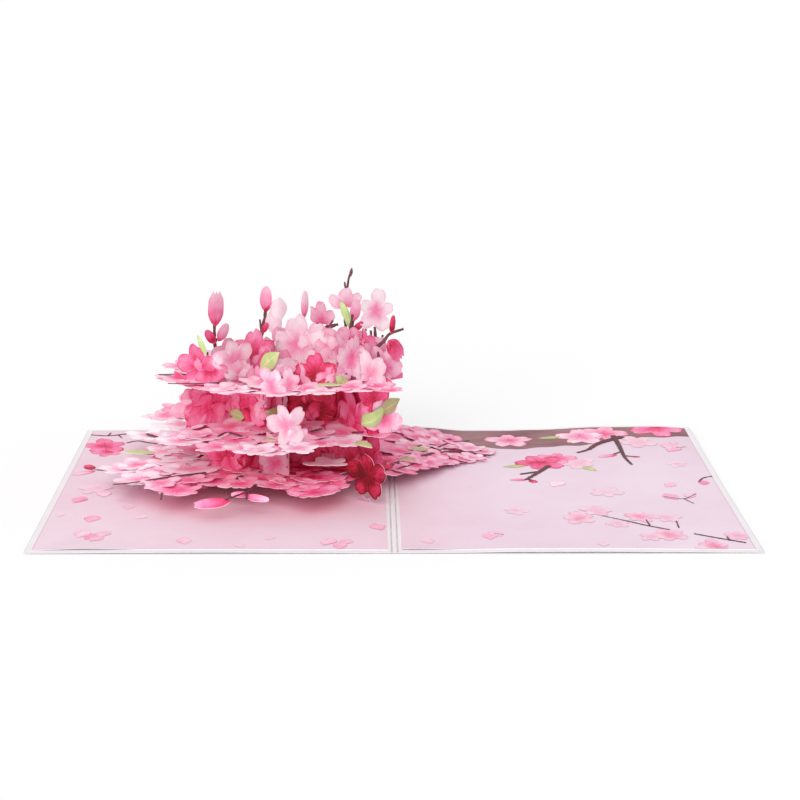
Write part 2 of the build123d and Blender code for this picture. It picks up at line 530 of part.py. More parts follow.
def standing(name):
    """A folded sheet standing on its glue tabs."""
    base, band, above = BANDS[name]
    fold = FOLDS[name]
    runs = [0.0]
    for a, b in zip(fold, fold[1:]):
        runs.append(runs[-1] + math.dist(a, b))
    flat = united([rect(0, runs[-1], base, band)] + [face(outline(e)) for e in PETALS[name]])
    roof = above if above else 200.0
    flat = flat & rect(-60, runs[-1] + 60, base, roof)
    lap = 0.6 * SHEET_T
    made = None
    for i, (a, b) in enumerate(zip(fold, fold[1:])):
        d = math.dist(a, b)
        dx, dy = (b[0] - a[0]) / d, (b[1] - a[1]) / d
        plane = Plane(origin=(a[0] - dx * runs[i], a[1] - dy * runs[i], 0), x_dir=(dx, dy, 0), z_dir=(dy, -dx, 0))
        lo = -60 if i == 0 else runs[i] - lap
        hi = runs[-1] + 60 if i == len(fold) - 2 else runs[i + 1] + lap
        panel = extrude(flat & rect(lo, hi, base - 1, 201), amount=SHEET_T / 2, both=True)
        lo, hi = runs[i] + TAB_IN, runs[i + 1] - TAB_IN
        levels = [base, above - SHEET_T] if above and i % 2 == 0 else [base]
        for z in levels if hi - lo >= 0.5 else []:
            panel = panel + extrude(rect(lo, hi, z, z + SHEET_T), amount=-TAB_W)
        panel = plane * panel
        made = panel if made is None else made + panel
    return one(made, name)


def tier(name, z):
    cx, cy, ax, ay = WEBS[name]
    return united([face(ellipse(cx, cy, ax, ay))] + [face(outline(e)) for e in PETALS[name]])


def slots(width):
    holes = None
    for x in UPRIGHT_X:
        h = box(x - UPRIGHT_T / 2 - SLOT_PLAY, x + UPRIGHT_T / 2 + SLOT_PLAY,
                UPRIGHT_Y - width / 2 - SLOT_PLAY, UPRIGHT_Y + width / 2 + SLOT_PLAY, -5, 100)
        holes = h if holes is None else holes + h
    return holes


def lower_tier():
    name = "lower_bough"
    cx, cy, ax, ay = WEBS[name]
    flat = united([face(ellipse(cx, cy, ax, ay)), face(STRAP)] + [face(outline(e)) for e in PETALS[name]])
    drop = LOWER_Z - PAGE_Z
    run = math.hypot(STRAP_END_X - STRAP_X, drop)
    c, s = (STRAP_END_X - STRAP_X) / run, drop / run
    end = STRAP_X + run
    lap = 0.06
    level = Pos(0, 0, LOWER_Z) * extrude(flat & rect(-200, STRAP_X + lap, -200, 200), amount=SHEET_T)
    slope = Plane(origin=(STRAP_X - c * STRAP_X, 0, LOWER_Z + s * STRAP_X), x_dir=(c, 0, -s), z_dir=(s, 0, c))
    ramp = slope * extrude(flat & rect(STRAP_X - lap, end, -200, 200), amount=SHEET_T)
    foot = Pos(STRAP_END_X - end, 0, PAGE_Z) * extrude(flat & rect(end - lap, 200, -200, 200), amount=SHEET_T)
    made = level + ramp + foot
    # the slope must not dip into the liner it is glued to
    made = made - box(0, 120, -100, 100, -5, PAGE_Z)
    made = made - slots(UPRIGHT_W[1])
    # clearance for the blossom that stands on the page beside the gutter
    a, b = FOLDS["gutter_blossom"]
    mid = ((a[0] + b[0]) / 2 + 0.6, (a[1] + b[1]) / 2 - 0.4)
    turn = math.degrees(math.atan2(b[1] - a[1], b[0] - a[0]))
    made = made - Pos(mid[0], mid[1], LOWER_Z) * Rot(0, 0, turn) * Box(GUTTER_SLOT, 1.6, 6)
    return one(made, name)


def upright(x, sign):
    w = [UPRIGHT_W[i] / 2 for i in range(3)]
    zs = [PAGE_Z, LOWER_Z, MIDDLE_Z, UPPER_Z]
    body = None
    for i in range(3):
        top = zs[i + 1]
        b = box(x - UPRIGHT_T / 2, x + UPRIGHT_T / 2, UPRIGHT_Y - w[i], UPRIGHT_Y + w[i], zs[0], top)
        body = b if body is None else body + b
    x0, x1 = sorted((x, x + sign * 6.0))
    body = body + box(x0, x1, UPRIGHT_Y - w[2] + 1, UPRIGHT_Y + w[2] - 1, UPPER_Z - UPRIGHT_T, UPPER_Z)
    body = body + box(x0, x1, UPRIGHT_Y - w[0] + 1, UPRIGHT_Y + w[0] - 1, PAGE_Z, PAGE_Z + UPRIGHT_T)
    return one(body, "upright")


def stand(x0, x1, y):
    wall = box(x0, x1, y, y + SHEET_T, PAGE_Z, LOWER_Z)
    foot = box(x0, x1, y, y + 6, PAGE_Z, PAGE_Z + SHEET_T)
    head = box(x0, x1, y, y + 6, LOWER_Z - SHEET_T, LOWER_Z)
    return one(wall + foot + head, "stand")


def level_blossom():
    wall_front = FOLDS["lower_wall"][3][1] - SHEET_T / 2
    e = PETALS["tab_blossom"][0]
    flat = united([face(outline(e)), rect(e[1] - 2.5, e[1] + 2.5, e[2], wall_front - SHEET_T / 2)])
    hinge = Pos(0, wall_front - SHEET_T, TAB_Z) * Rot(-TAB_TILT, 0, 0) * Pos(0, -wall_front + SHEET_T, 0)
    made = hinge * extrude(flat, amount=SHEET_T)
    made = made + box(e[1] - 2.5, e[1] + 2.5, wall_front - SHEET_T, wall_front, TAB_Z, TAB_Z + 4.5)
    made = made - box(-60, 20, wall_front, wall_front + 5, 0, 40)
    return one(made, "tab_blossom")


def cover():
    made = box(-PANEL_W, PANEL_W, -CARD_D / 2, CARD_D / 2, 0, COVER_T)
    for x in (-CREASE_X, CREASE_X):
        groove = Plane.XZ * face([(x - CREASE_W / 2, COVER_T + 0.001), (x, COVER_T - CREASE_D), (x + CREASE_W / 2, COVER_T + 0.001)])
        made = made - extrude(groove, amount=CARD_D, both=True)
    return one(made, "cover")


def liner(side):
    x0, x1 = sorted((side * GUTTER_HALF, side * (PANEL_W - MARGIN)))
    return one(box(x0, x1, -CARD_D / 2 + MARGIN, CARD_D / 2 - MARGIN, COVER_T, PAGE_Z), "liner")


nodes = {
    "cover": cover(),
    "left_page": liner(-1),
    "right_page": liner(1),
    "lower_bough": lower_tier(),
    "middle_bough": one(Pos(0, 0, MIDDLE_Z) * extrude(tier("middle_bough", MIDDLE_Z), amount=SHEET_T) - slots(UPRIGHT_W[2]), "middle_bough"),
    "upper_bough": one(Pos(0, 0, UPPER_Z) * extrude(tier("upper_bough", UPPER_Z), amount=SHEET_T), "upper_bough"),
    "left_upright": upright(UPRIGHT_X[0], -1),
    "right_upright": upright(UPRIGHT_X[1], 1),
    "tab_blossom": level_blossom(),
}
for name, where in STANDS.items():
    nodes[name] = stand(*where)
for name in BANDS:
    nodes[name] = standing(name)

os.makedirs("parts", exist_ok=True)
for name, shape in nodes.items():
    shape.label = name
    export_step(shape, "parts/" + name + ".step")
    b = shape.bounding_box()
    print(f"{name:18s} vol {shape.volume:9.2f}  valid {shape.is_valid}  x {b.min.X:.1f}..{b.max.X:.1f}  y {b.min.Y:.1f}..{b.max.Y:.1f}  z {b.min.Z:.2f}..{b.max.Z:.2f}")
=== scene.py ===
# Looks of the blossom pop up card: every sheet is rebuilt as printed, die-cut paper.
import math
import random

import bmesh
import bpy
from mathutils import Matrix, Vector


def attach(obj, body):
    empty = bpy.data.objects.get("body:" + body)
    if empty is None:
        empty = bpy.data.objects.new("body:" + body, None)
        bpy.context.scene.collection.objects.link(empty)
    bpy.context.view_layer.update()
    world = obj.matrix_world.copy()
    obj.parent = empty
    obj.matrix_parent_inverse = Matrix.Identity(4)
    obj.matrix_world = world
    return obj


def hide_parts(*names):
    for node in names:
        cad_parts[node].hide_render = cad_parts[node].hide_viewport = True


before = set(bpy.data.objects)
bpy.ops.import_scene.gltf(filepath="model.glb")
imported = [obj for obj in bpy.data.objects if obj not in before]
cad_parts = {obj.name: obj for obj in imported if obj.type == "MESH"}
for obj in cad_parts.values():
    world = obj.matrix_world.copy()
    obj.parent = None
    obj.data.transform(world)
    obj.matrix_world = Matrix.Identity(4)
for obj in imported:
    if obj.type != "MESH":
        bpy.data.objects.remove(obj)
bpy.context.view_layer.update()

MM = 0.001
rng = random.Random(23)

# ------------------------------------------------------------------ sizes, as in the part (mm)
PANEL_W, CARD_D, COVER_T, LINER_T = 127.0, 178.0, 0.45, 0.20
MARGIN, GUTTER_HALF, CREASE_X = 2.4, 2.4, 1.0
SHEET_T = 0.25
PAGE_Z = COVER_T + LINER_T
LOWER_Z, MIDDLE_Z, UPPER_Z = 6.40, 20.80, 41.80
LOWER_TOP, MIDDLE_TOP, UPPER_TOP = LOWER_Z + SHEET_T, MIDDLE_Z + SHEET_T, UPPER_Z + SHEET_T
STRAP_X, STRAP_END_X = -1.0, 31.0
TAB_W, TAB_IN = 4.2, 2.6
TAB_Z, TAB_TILT = 10.9, math.radians(2.5)
WEBS = {
    "upper_bough": (-40.0, 12.0, 36.0, 36.0),
    "middle_bough": (-46.0, 8.0, 35.0, 35.0),
    "lower_bough": (-54.0, 10.0, 41.0, 31.0),
}
STRAP = [(-14, -4), (1, -9), (10, 8), (31, 34), (39, 36), (39, 50), (31, 58), (14, 66), (0, 60), (-14, 46)]
BANDS = {
    "lower_wall": (LOWER_TOP, MIDDLE_Z, MIDDLE_Z),
    "middle_wall": (MIDDLE_TOP, UPPER_Z, UPPER_Z),
    "strut_blossom": (LOWER_TOP, MIDDLE_Z, MIDDLE_Z),
    "gutter_blossom": (PAGE_Z, 3.4, None),
    "standing_blossom": (MIDDLE_TOP, 24.6, None),
    "rim_blossom": (UPPER_TOP, 43.8, None),
    "crown_front": (UPPER_TOP, 45.6, None),
    "crown_middle": (UPPER_TOP, 47.0, None),
    "crown_rear": (UPPER_TOP, 47.0, None),
    "crown_right": (UPPER_TOP, 45.8, None),
}
# ground tone of each sheet's plain band; the wall bands are deep crimson, partly print and partly painted shade of
# the cavity between the tiers, and the gutter band is pale so that its painted shade set below matches the shaded
# page
BAND_TONE = {
    "lower_wall": 4.9, "middle_wall": 4.4, "strut_blossom": 3.2, "gutter_blossom": 1.1,
    "standing_blossom": 1.2, "rim_blossom": 1.4, "crown_front": 3.4, "crown_middle": 3.6,
    "crown_rear": 3.4, "crown_right": 3.4,
}

# gentle lift of the open cover off the table, along its back and front edges
BACK_LIFT = [(-127, 0.0), (-95, 0.2), (-50, 0.1), (-20, 1.2), (0, 2.5), (14, 1.4), (32, 0.0), (48, 0.0), (60, 0.35), (89, 1.6), (112, 1.8), (127, 1.0)]
FRONT_LIFT = [(-127, 0.0), (-90, 0.2), (-60, 0.3), (-30, 0.15), (0, 0.0), (20, 0.1), (43, 0.4), (72, 0.45), (100, 0.2), (127, 0.0)]

FOLDS = {
    'lower_wall': [(-68, 3), (-58, -5), (-47, 3), (-38, 8), (-12, 8), (-6, -1)],
    'middle_wall': [(-75, 9), (-62, 20), (-49, 6), (-40, 20), (-22, 20), (-9, -6), (-2, 0)],
    'strut_blossom': [(-50, -5), (-38.8, -13)],
    'gutter_blossom': [(-12.6, -22.4), (-8.4, -26.2)],
    'standing_blossom': [(-47, -13), (-37.8, -22), (-28.5, -13)],
    'rim_blossom': [(-49, -20), (-41.5, -28), (-34, -20.5)],
    'crown_front': [(-82, -2), (-64, -12), (-52, 0), (-40, -11), (-22, -14), (-12, -4), (0, -14)],
    'crown_middle': [(-64, 8), (-46, 3), (-45, 11), (-22, 9), (-11, 13), (0, 4.5)],
    'crown_rear': [(-72, 16), (-58, 24), (-44, 16), (-31, 24), (-20, 15), (0, 23)],
    'crown_right': [(-9.5, 2), (-2.5, -5), (4, 1)],
}
PETALS = {
    'crown_front': [
        ('T', ((15.6, 48.9), (15.0, 54.1)), 0.9, 0.8, 0, 0),
        ('L', 15.2, 53.4, 8.1, 118, 0, 0.13),
        ('B', 16.0, 47.0, 7.0, 75, 2.9),
        ('B', 11.1, 47.6, 9.4, 95, 3.4),
        ('B', 26.9, 50.7, 8.8, 100, 1.4),
        ('B', 30.3, 43.7, 7.2, 40, 2.0),
        ('B', 39.4, 41.7, 6.4, 75, 2.2),
        ('B', 48.0, 44.9, 7.2, 100, 1.0),
        ('L', 42.7, 46.8, 12.2, 38, 0, 0.25),
        ('B', 57.6, 44.0, 6.8, 60, 1.7),
        ('B', 71.6, 44.8, 5.8, 30, 2.6),
        ('B', 65.2, 46.5, 8.4, 92, 4.5),
        ('T', ((52.3, 44.9), (56.1, 46.2), (59.1, 47.5)), 0.9, 0.7, 0, 0),
        ('B', 80.8, 51.2, 9.0, 85, 1.0),
        ('B', 75.5, 44.0, 6.0, 100, 1.8),
        ('T', ((80.3, 47.8), (80.8, 44.7), (82.4, 41.0)), 1.0, 0.8, 0, 0),
        ('T', ((75.5, 45.9), (79.2, 46.1)), 0.9, 0.7, 0, 0),
        ('L', 78.1, 39.7, 8.7, 131, 0.5, 0.28),
        ('B', 91.5, 45.3, 9.8, 110, 0.4),
        ('B', 97.3, 40.8, 6.2, 300, 1.3),
    ],
    'crown_middle': [
        ('B', 6.5, 45.1, 5.6, 40, 2.6),
        ('B', 16.9, 47.3, 6.4, 20, 2.6),
        ('B', 12.1, 50.9, 9.5, 90, 3.3),
        ('T', ((9.7, 47.3), (8.4, 44.5), (9.2, 41.8)), 1.6, 1.0, 0, 0),
        ('T', ((8.8, 44.9), (6.9, 45.6)), 0.9, 0.7, 0, 0),
        ('B', 30.5, 43.4, 7.8, 20, 2.6),
        ('B', 43.6, 46.0, 8.2, 50, 2.6),
        ('B', 43.7, 52.6, 8.6, 20, 1.3),
        ('B', 35.6, 52.9, 12.2, 92, 0.4),
        ('T', ((46.7, 55.8), (47.5, 59.3), (51.3, 61.3)), 1.3, 0.8, 0, 0),
        ('T', ((47.5, 59.3), (49.4, 62.8)), 0.9, 0.7, 0, 0),
        ('B', 50.2, 53.9, 7.6, 120, 2.4),
        ('B', 56.3, 53.9, 6.6, 70, 1.6),
        ('B', 51.4, 48.8, 8.2, 100, 2.0),
        ('T', ((55.0, 54.0), (55.9, 58.2), (57.1, 64.7)), 1.2, 0.9, 0, 0),
        ('B', 62.0, 51.6, 7.8, 100, 3.4),
        ('B', 68.8, 49.0, 7.8, 75, 2.3),
        ('T', ((66.8, 52.6), (65.9, 58.7)), 1.2, 0.9, 0, 0),
        ('T', ((61.5, 55.5), (62.0, 59.0)), 1.0, 0.8, 0, 0),
    ],
    'crown_rear': [
        ('T', ((43.9, 44.5), (43.8, 55.5)), 1.2, 1.1, 0, 0),
        ('T', ((54.3, 44.5), (55.4, 54)), 1.7, 1.5, 0, 0),
        ('T', ((53.8, 44.5), (52.9, 61)), 1.5, 1.1, 0, 0),
        ('T', ((64.4, 44.5), (64.8, 53)), 1.8, 1.5, 0, 0),
        ('T', ((64.2, 48), (64.0, 67)), 1.5, 1.1, 0, 0),
        ('T', ((76.3, 44.5), (76.0, 51)), 1.7, 1.4, 0, 0),
        ('T', ((24.3, 44.5), (24.9, 50.5)), 2.6, 2.2, 0, 0),
        ('T', ((5.8, 44.5), (5.4, 47)), 2.0, 1.6, 0, 0),
        ('T', ((70.5, 44.5), (71.6, 54.0)), 1.6, 1.2, 0, 0),
        ('T', ((78.4, 44.5), (77.8, 50.5)), 1.6, 1.2, 0, 0),
        ('T', ((5.4, 46.1), (4.2, 52.5), (4.3, 60.3)), 1.5, 1.1, 0, 0),
        ('U', 4.3, 58.7, 13.8, 87, 2.6, 0.225),
        ('T', ((4.2, 52.9), (5.9, 53.9)), 1.2, 1.0, 0, 0),
        ('U', 5.5, 52.8, 7.7, 59, 2, 0.26),
        ('T', ((4.2, 52.5), (2.9, 53.4)), 1.2, 1.0, 0, 0),
        ('U', 4.2, 52.1, 6.9, 127, 4.6, 0.25),
        ('B', 10.6, 46.8, 8.2, 100, 1.2),
        ('B', 28.1, 49.0, 6.4, 80, 1.4),
        ('T', ((24.9, 49.8), (25.9, 56.2), (27.3, 61.8), (27.9, 67.3)), 2.1, 1.0, 0, 0),
        ('T', ((25.9, 56.2), (25.1, 61.2)), 1.1, 0.7, 0, 0),
        ('U', 27.8, 64.6, 10.0, 84, 2.5, 0.25),
        ('U', 26.4, 56.2, 5.0, 57, 5, 0.24),
        ('U', 27.4, 64.2, 4.0, 47, 5.2, 0.17),
        ('P', 30.9, 59.8, 9.8, 104, 1.0),
        ('P', 32.8, 65.3, 10.2, 88, 1.0),
        ('P', 34.0, 54.7, 9.6, 112, 2.2),
        ('T', ((43.8, 54.9), (43.4, 62.8)), 1.0, 0.8, 0, 0),
        ('U', 43.4, 61.6, 10.5, 88, 2, 0.14),
        ('H', 53.9, 59.6, 9.2, 90, 2),
        ('T', ((48.9, 57.8), (51.4, 59.3), (53.9, 58.4)), 1.3, 1.0, 0, 0),
        ('T', ((55.4, 53.1), (55.9, 58.3), (61.5, 60.1)), 1.5, 0.8, 0, 0),
        ('T', ((55.9, 57.9), (59.0, 61.4)), 1.0, 0.7, 0, 0),
        ('H', 64.4, 66.6, 8.2, 95, 1.3),
        ('T', ((64.0, 70.9), (64.8, 77.0), (65.7, 80.1)), 1.0, 0.7, 0, 0),
        ('U', 65.4, 78.5, 3.6, 79, 6, 0.24),
        ('T', ((64.0, 72.0), (63.2, 76.7)), 0.9, 0.6, 0, 0),
        ('B', 76.0, 64.6, 8.4, 80, 0.5),
        ('L', 65.4, 58.3, 11.3, 107, 0, 0.11),
        ('T', ((64.8, 52.1), (66.0, 57.5), (66.9, 63.7)), 1.5, 1.1, 0, 0),
        ('U', 66.9, 61.3, 8.4, 83, 3, 0.24),
        ('U', 66.5, 57.5, 5.2, 38, 5, 0.26),
        ('T', ((76.0, 50.5), (75.6, 58.4)), 1.4, 1.0, 0, 0),
        ('T', ((71.4, 53.2), (71.8, 57.9)), 1.2, 0.8, 0, 0),
        ('T', ((77.7, 49.6), (78.9, 55.0)), 1.2, 0.8, 0, 0),
    ],
    'crown_right': [
        ('B', 9.1, 47.6, 8.2, 60, 2.1),
        ('T', ((5.5, 54.6), (9.0, 57.2), (11.6, 59.9), (18.9, 60.9)), 1.5, 0.9, 0, 0),
        ('U', 12.1, 59.9, 7.2, 82, 5, 0.2),
        ('U', 10.6, 57.8, 10.7, -49, 4.7, 0.3),
        ('T', ((8.2, 45.0), (5.5, 55.2)), 1.7, 1.5, 0, 0),
    ],
    'rim_blossom': [
        ('B', 6.8, 44.6, 7.4, 55, 1.1),
        ('B', 15.3, 45.0, 6.0, 95, 1.7),
    ],
    'standing_blossom': [
        ('B', 11.0, 28.5, 9.4, 108, 0.4),
        ('B', 16.1, 24.5, 4.8, 10, 0.8),
    ],
    'strut_blossom': [
        ('B', 7.2, 11.4, 8.6, 100, 1.6),
    ],
    'gutter_blossom': [
        ('B', 4.7, 10.6, 9.4, 92, 4.9),
    ],
    'middle_wall': [
        ('B', 3.2, 24.1, 10.5, 10, 3.6),
        ('B', 8.6, 29.2, 14.5, 70, 2.9),
        ('B', 0.0, 30.1, 8.0, 140, 2.6),
        ('P', -7.5, 28.8, 9.5, 172, 1.8),
        ('P', -4.1, 33.0, 8.5, 165, 0.9),
        ('P', -0.8, 35.3, 6.5, 255, 4.4),
        ('B', 32.2, 24.2, 8.6, 30, 4.4),
        ('B', 25.1, 28.5, 14.0, 52, 2.7),
        ('L', 26.2, 24.0, 9.0, 175, 0.0, 0.24),
        ('B', 49.8, 26.9, 10.0, 90, 4.8),
        ('B', 40.5, 30.7, 9.6, 60, 2.2),
        ('L', 47.0, 22.7, 11.9, 153, 0, 0.28),
        ('B', 56.9, 28.4, 11.0, 30, 4.8),
        ('B', 68.6, 28.0, 10.5, 60, 4.8),
        ('B', 62.7, 25.2, 13.0, 90, 5.0),
        ('B', 79.9, 29.4, 12.5, 40, 4.3),
        ('B', 89.4, 25.1, 13.0, 100, 3.6),
        ('B', 101.2, 34.5, 8.6, 10, 4.2),
        ('B', 107.2, 27.3, 8.4, 120, 1.8),
        ('L', 98.2, 25.2, 10.9, 39, 0, 0.24),
        ('L', 104.2, 30.1, 10.3, 21, 1, 0.27),
    ],
    'lower_wall': [
        ('B', 5.2, 10.3, 9.8, 80, 3.9),
        ('B', 14.6, 11.2, 10.8, 60, 4.2),
        ('B', 21.9, 9.0, 9.2, 10, 4.8),
        ('B', 30.3, 8.6, 10, 90, 4.8),
        ('B', 40.2, 8.2, 10.8, 100, 5),
        ('B', 47.9, 5.8, 9.4, 20, 4.6),
        ('B', 54.8, 9.0, 11.0, 60, 4.8),
        ('B', 59.6, 5.9, 9.6, 90, 4.4),
        ('B', 70.0, 10.9, 10.8, 70, 4.3),
    ],
    'upper_bough': [
        ('B', -26.1, 45.6, 11.6, 334, 2.6),
        ('B', -51.4, 44.9, 10.3, 41, 2.0),
        ('B', -66.5, 43.0, 11.2, 228, 2.0),
        ('B', -40.7, 42.9, 9.9, 247, 1.2),
        ('B', -18.8, 34.9, 11.6, 205, 1.2),
        ('B', -32.9, 34.1, 10.3, 313, 1.2),
        ('B', -59.8, 33.6, 9.6, 265, 2.0),
        ('B', -70.2, 32.4, 11.2, 270, 0.8),
        ('B', -39.1, 23.8, 11.0, 62, 2.6),
        ('B', -80.3, 20.8, 9.8, 307, 2.0),
        ('B', -52.1, 20.3, 9.9, 76, 2.6),
        ('B', -67.4, 20.0, 9.8, 186, 0.8),
        ('B', -31.6, 12.8, 11.1, 233, 0.8),
        ('B', -18.4, 12.1, 11.7, 203, 2.6),
        ('B', -59.1, 11.4, 10.1, 74, 0.8),
        ('B', -46.3, 10.5, 10.9, 353, 1.2),
        ('B', -73.4, 9.7, 10.0, 6, 1.2),
        ('B', -7.4, 9.4, 11.0, 97, 0.8),
        ('B', -51.7, 1.5, 10.3, 181, 2.6),
        ('B', -64.8, 0.6, 12.0, 145, 2.6),
        ('B', -25.6, -0.4, 11.8, 41, 2.6),
        ('B', -14.9, -0.4, 10.1, 220, 1.2),
        ('B', -40.9, -1.5, 9.6, 66, 2.0),
        ('B', -33.3, -9.2, 9.6, 174, 2.0),
        ('B', -47.5, -11.3, 11.4, 250, 1.2),
        ('T', ((-88.5, 0.8), (-78.3, 0.8), (-67.9, -2.8)), 0.9, 1.4, 0, 0),
        ('T', ((-83.4, -14.1), (-71.5, -14.2), (-60.6, -11.6)), 0.8, 1.2, 0, 0),
        ('P', -84.6, -1.0, 9.0, 175, 0.8),
        ('B', -80.8, -1.0, 9.0, 170, 0.8),
        ('B', -74.1, -9.8, 8.0, 30, 2.8),
        ('B', -69.4, -13.3, 9.2, 200, 1.5),
        ('B', -59.2, -21.9, 9.6, 250, 0.8),
        ('B', -64.1, -20.2, 8.0, 130, 1.2),
        ('B', -50.3, -22.7, 7.8, 215, 0.8),
        ('B', -55.0, -18.5, 8.4, 80, 1.3),
        ('B', -42.1, -26.9, 9.8, 265, 0.8),
        ('B', -36.3, -23.6, 7.6, 10, 1.1),
        ('B', -32.0, -21.9, 7.8, 290, 1.5),
        ('B', -26.0, -25.3, 6.4, 240, 0),
        ('B', -22.1, -20.2, 7.4, 120, 1.6),
        ('L', -18.8, -16.8, 10.7, 180, 0, 0.19),
        ('B', -16.2, -18.5, 8.2, 285, 1),
        ('B', -11.0, -20.2, 7.6, 60, 1.4),
        ('B', -5.8, -16.8, 8.2, 320, 2),
        ('B', -1.4, -23.6, 5.5, 320, 2),
    ],
    'middle_bough': [
        ('B', -46.3, 41.9, 10.2, 111, 1.5),
        ('B', -19.7, 40.0, 9.9, 135, 0.7),
        ('B', -65.1, 30.7, 9.7, 336, 1.2),
        ('B', -52.0, 30.3, 10.4, 117, 1.1),
        ('B', -39.6, 30.3, 11.2, 177, 2.0),
        ('B', -24.1, 30.3, 9.4, 83, 2.0),
        ('B', -76.0, 27.1, 9.4, 263, 1.0),
        ('B', -46.2, 18.2, 11.8, 22, 1.1),
        ('B', -7.4, 17.2, 11.4, 256, 2.0),
        ('B', -58.2, 16.9, 10.1, 5, 2.0),
        ('B', -38.0, 8.3, 11.6, 76, 2.0),
        ('B', -50.1, 5.4, 10.1, 138, 1.1),
        ('B', -18.8, -2.0, 10.4, 182, 1.1),
        ('B', -59.7, -4.8, 9.7, 73, 1.5),
        ('B', -31.6, -5.6, 11.7, 82, 1.1),
        ('B', -79.6, -15.2, 9.5, 226, 0.5),
        ('B', -76.0, 43.0, 8.6, 40, 1.2),
        ('B', -88.5, 25.7, 8.0, 175, 1),
        ('P', -93.6, 25.7, 9.0, 178, 0.8),
        ('B', -82.9, 37.8, 9.0, 150, 2),
        ('B', -75.5, -5.7, 9.4, 40, 1.6),
        ('B', -81.0, 10.6, 11.0, 190, 0.2),
        ('L', -73.0, 22.3, 10.8, -175, 0, 0.19),
        ('B', -70.4, -8.8, 10.0, 225, 1.2),
        ('B', -61.2, 7.2, 10.0, 90, 1.2),
        ('T', ((-65.3, -12.0), (-62.0, -5.7), (-56.3, -12.0)), 1.1, 0.8, 0, 0),
        ('B', -65.2, -24.3, 8.8, 160, 1.7),
        ('B', -58.4, -15.1, 9.6, 260, 2),
        ('B', -53.7, -25.9, 8.6, 30, 1.2),
        ('B', -50.2, -30.4, 8.6, 270, 0),
        ('B', -42.8, -13.6, 9.4, 240, 1.4),
        ('B', -43.6, -30.4, 8.2, 100, 0.8),
        ('B', -34.5, -27.4, 8.8, 300, 0),
        ('L', -43.3, -18.3, 6.9, 137, 0, 0.19),
        ('B', -26.2, -19.8, 7.6, 140, 1.9),
        ('B', -17.3, -16.8, 9.6, 280, 0),
        ('B', -24.4, 7.2, 10.0, 60, 2.2),
        ('T', ((-30.7, -4.2), (-26.6, 0.7)), 1.0, 0.7, 0, 0),
        ('B', -8.7, -2.6, 8.0, 330, 3),
        ('B', -3.7, 5.5, 6.6, 200, 2.4),
        ('L', -13.2, -18.3, 12.0, -63, 0, 0.19),
        ('T', ((-15.2, -5.8), (-7.6, -2.6), (-1.4, 10.4)), 1.1, 0.8, 0, 0),
    ],
    'lower_bough': [
        ('B', -60.6, 46.5, 11.2, 50, 0.5),
        ('B', -48.3, 46.1, 10.9, 114, 2.8),
        ('B', -72.3, 44.2, 11.3, 320, 1.0),
        ('B', -32.4, 44.0, 10.8, 330, 4.6),
        ('B', -41.7, 36.7, 11.8, 55, 4.2),
        ('B', -54.9, 35.8, 11.7, 0, 3.4),
        ('B', -66.3, 34.2, 11.5, 65, 0.5),
        ('B', -34.1, 25.2, 9.9, 211, 4.6),
        ('B', -57.6, 23.8, 9.8, 46, 2.2),
        ('B', -54.9, 14.0, 10.4, 25, 1.6),
        ('B', -15.0, 14.0, 11.1, 247, 4.6),
        ('B', -25.4, 13.2, 9.8, 152, 4.6),
        ('B', -38.3, 12.6, 11.0, 25, 4.6),
        ('B', -19.6, 3.4, 9.7, 148, 4.9),
        ('B', -32.7, 1.7, 10.4, 166, 4.2),
        ('B', -45.1, 1.6, 9.8, 154, 4.6),
        ('B', -8.6, 0.3, 10.4, 140, 4.6),
        ('T', ((-98.4, 51.6), (-85.4, 36.5)), 1.4, 1.6, 0, 0),
        ('B', -97.6, 51.6, 10.0, 150, 0.2),
        ('B', -102.6, -2.7, 8.6, 20, 0.8),
        ('B', -98.0, 4.9, 10.0, 180, 0.5),
        ('B', -95.1, -16.0, 9.8, 200, 1.2),
        ('B', -89.5, -4.2, 10.4, 40, 0.3),
        ('B', -83.0, 17.2, 10.6, 170, 0.4),
        ('B', -89.5, 25.2, 8.6, 70, 0.4),
        ('B', -85.0, 9.4, 9.2, 20, 0.5),
        ('L', -92.2, 20.4, 13.5, 173, 0, 0.19),
        ('B', -86.3, -23.3, 8.6, 320, 1.5),
        ('T', ((-103.2, -27.5), (-95.8, -24.7), (-84.9, -17.5), (-70.2, -10.2)), 0.8, 1.3, 0, 0),
        ('T', ((-104.9, 36.6), (-100.8, 39.9), (-95.7, 36.6), (-88.4, 34.9)), 0.8, 1.1, 0, 0),
        ('B', -87.0, 36.5, 9.0, 130, 1),
        ('B', -75.5, 26.8, 9.6, 160, 2.2),
        ('B', -71.2, 9.4, 10.0, 10, 0.9),
        ('B', -76.8, -2.8, 11.0, 200, 0.4),
        ('B', -75.5, -19.0, 9.0, 60, 1.8),
        ('B', -78.9, -31.8, 10.2, 230, 2.9),
        ('B', -65.8, -19.0, 9.4, 100, 2.2),
        ('B', -62.8, -7.3, 11.0, 240, 2.6),
        ('B', -56.0, -1.3, 9.2, 330, 2.0),
        ('B', -56.5, -24.8, 8.4, 200, 2.0),
        ('B', -43.5, -26.3, 8.6, 80, 1.7),
        ('B', -48.7, -17.6, 10.6, 265, 1.5),
        ('T', ((-50.5, -27.6), (-53.3, -37.4), (-60.3, -48.3)), 1.5, 1.0, 0, 0),
        ('U', -58.8, -48.3, 13.0, -174, 3.8, 0.13),
        ('U', -52.2, -37.4, 6.9, 180, 3.3, 0.15),
        ('U', -53.6, -41.6, 8.7, -9, 2.9, 0.14),
        ('T', ((-53.2, -38.8), (-52.9, -47.7)), 0.9, 0.7, 0, 0),
        ('B', -38.5, -20.5, 8.4, 10, 2.7),
        ('B', -23.2, -24.9, 8.8, 130, 2.6),
        ('B', -27.9, -14.8, 10.2, 280, 2.8),
        ('B', -34.2, -27.7, 8.6, 60, 2.6),
        ('B', -28.9, -34.7, 10.6, 260, 2.9),
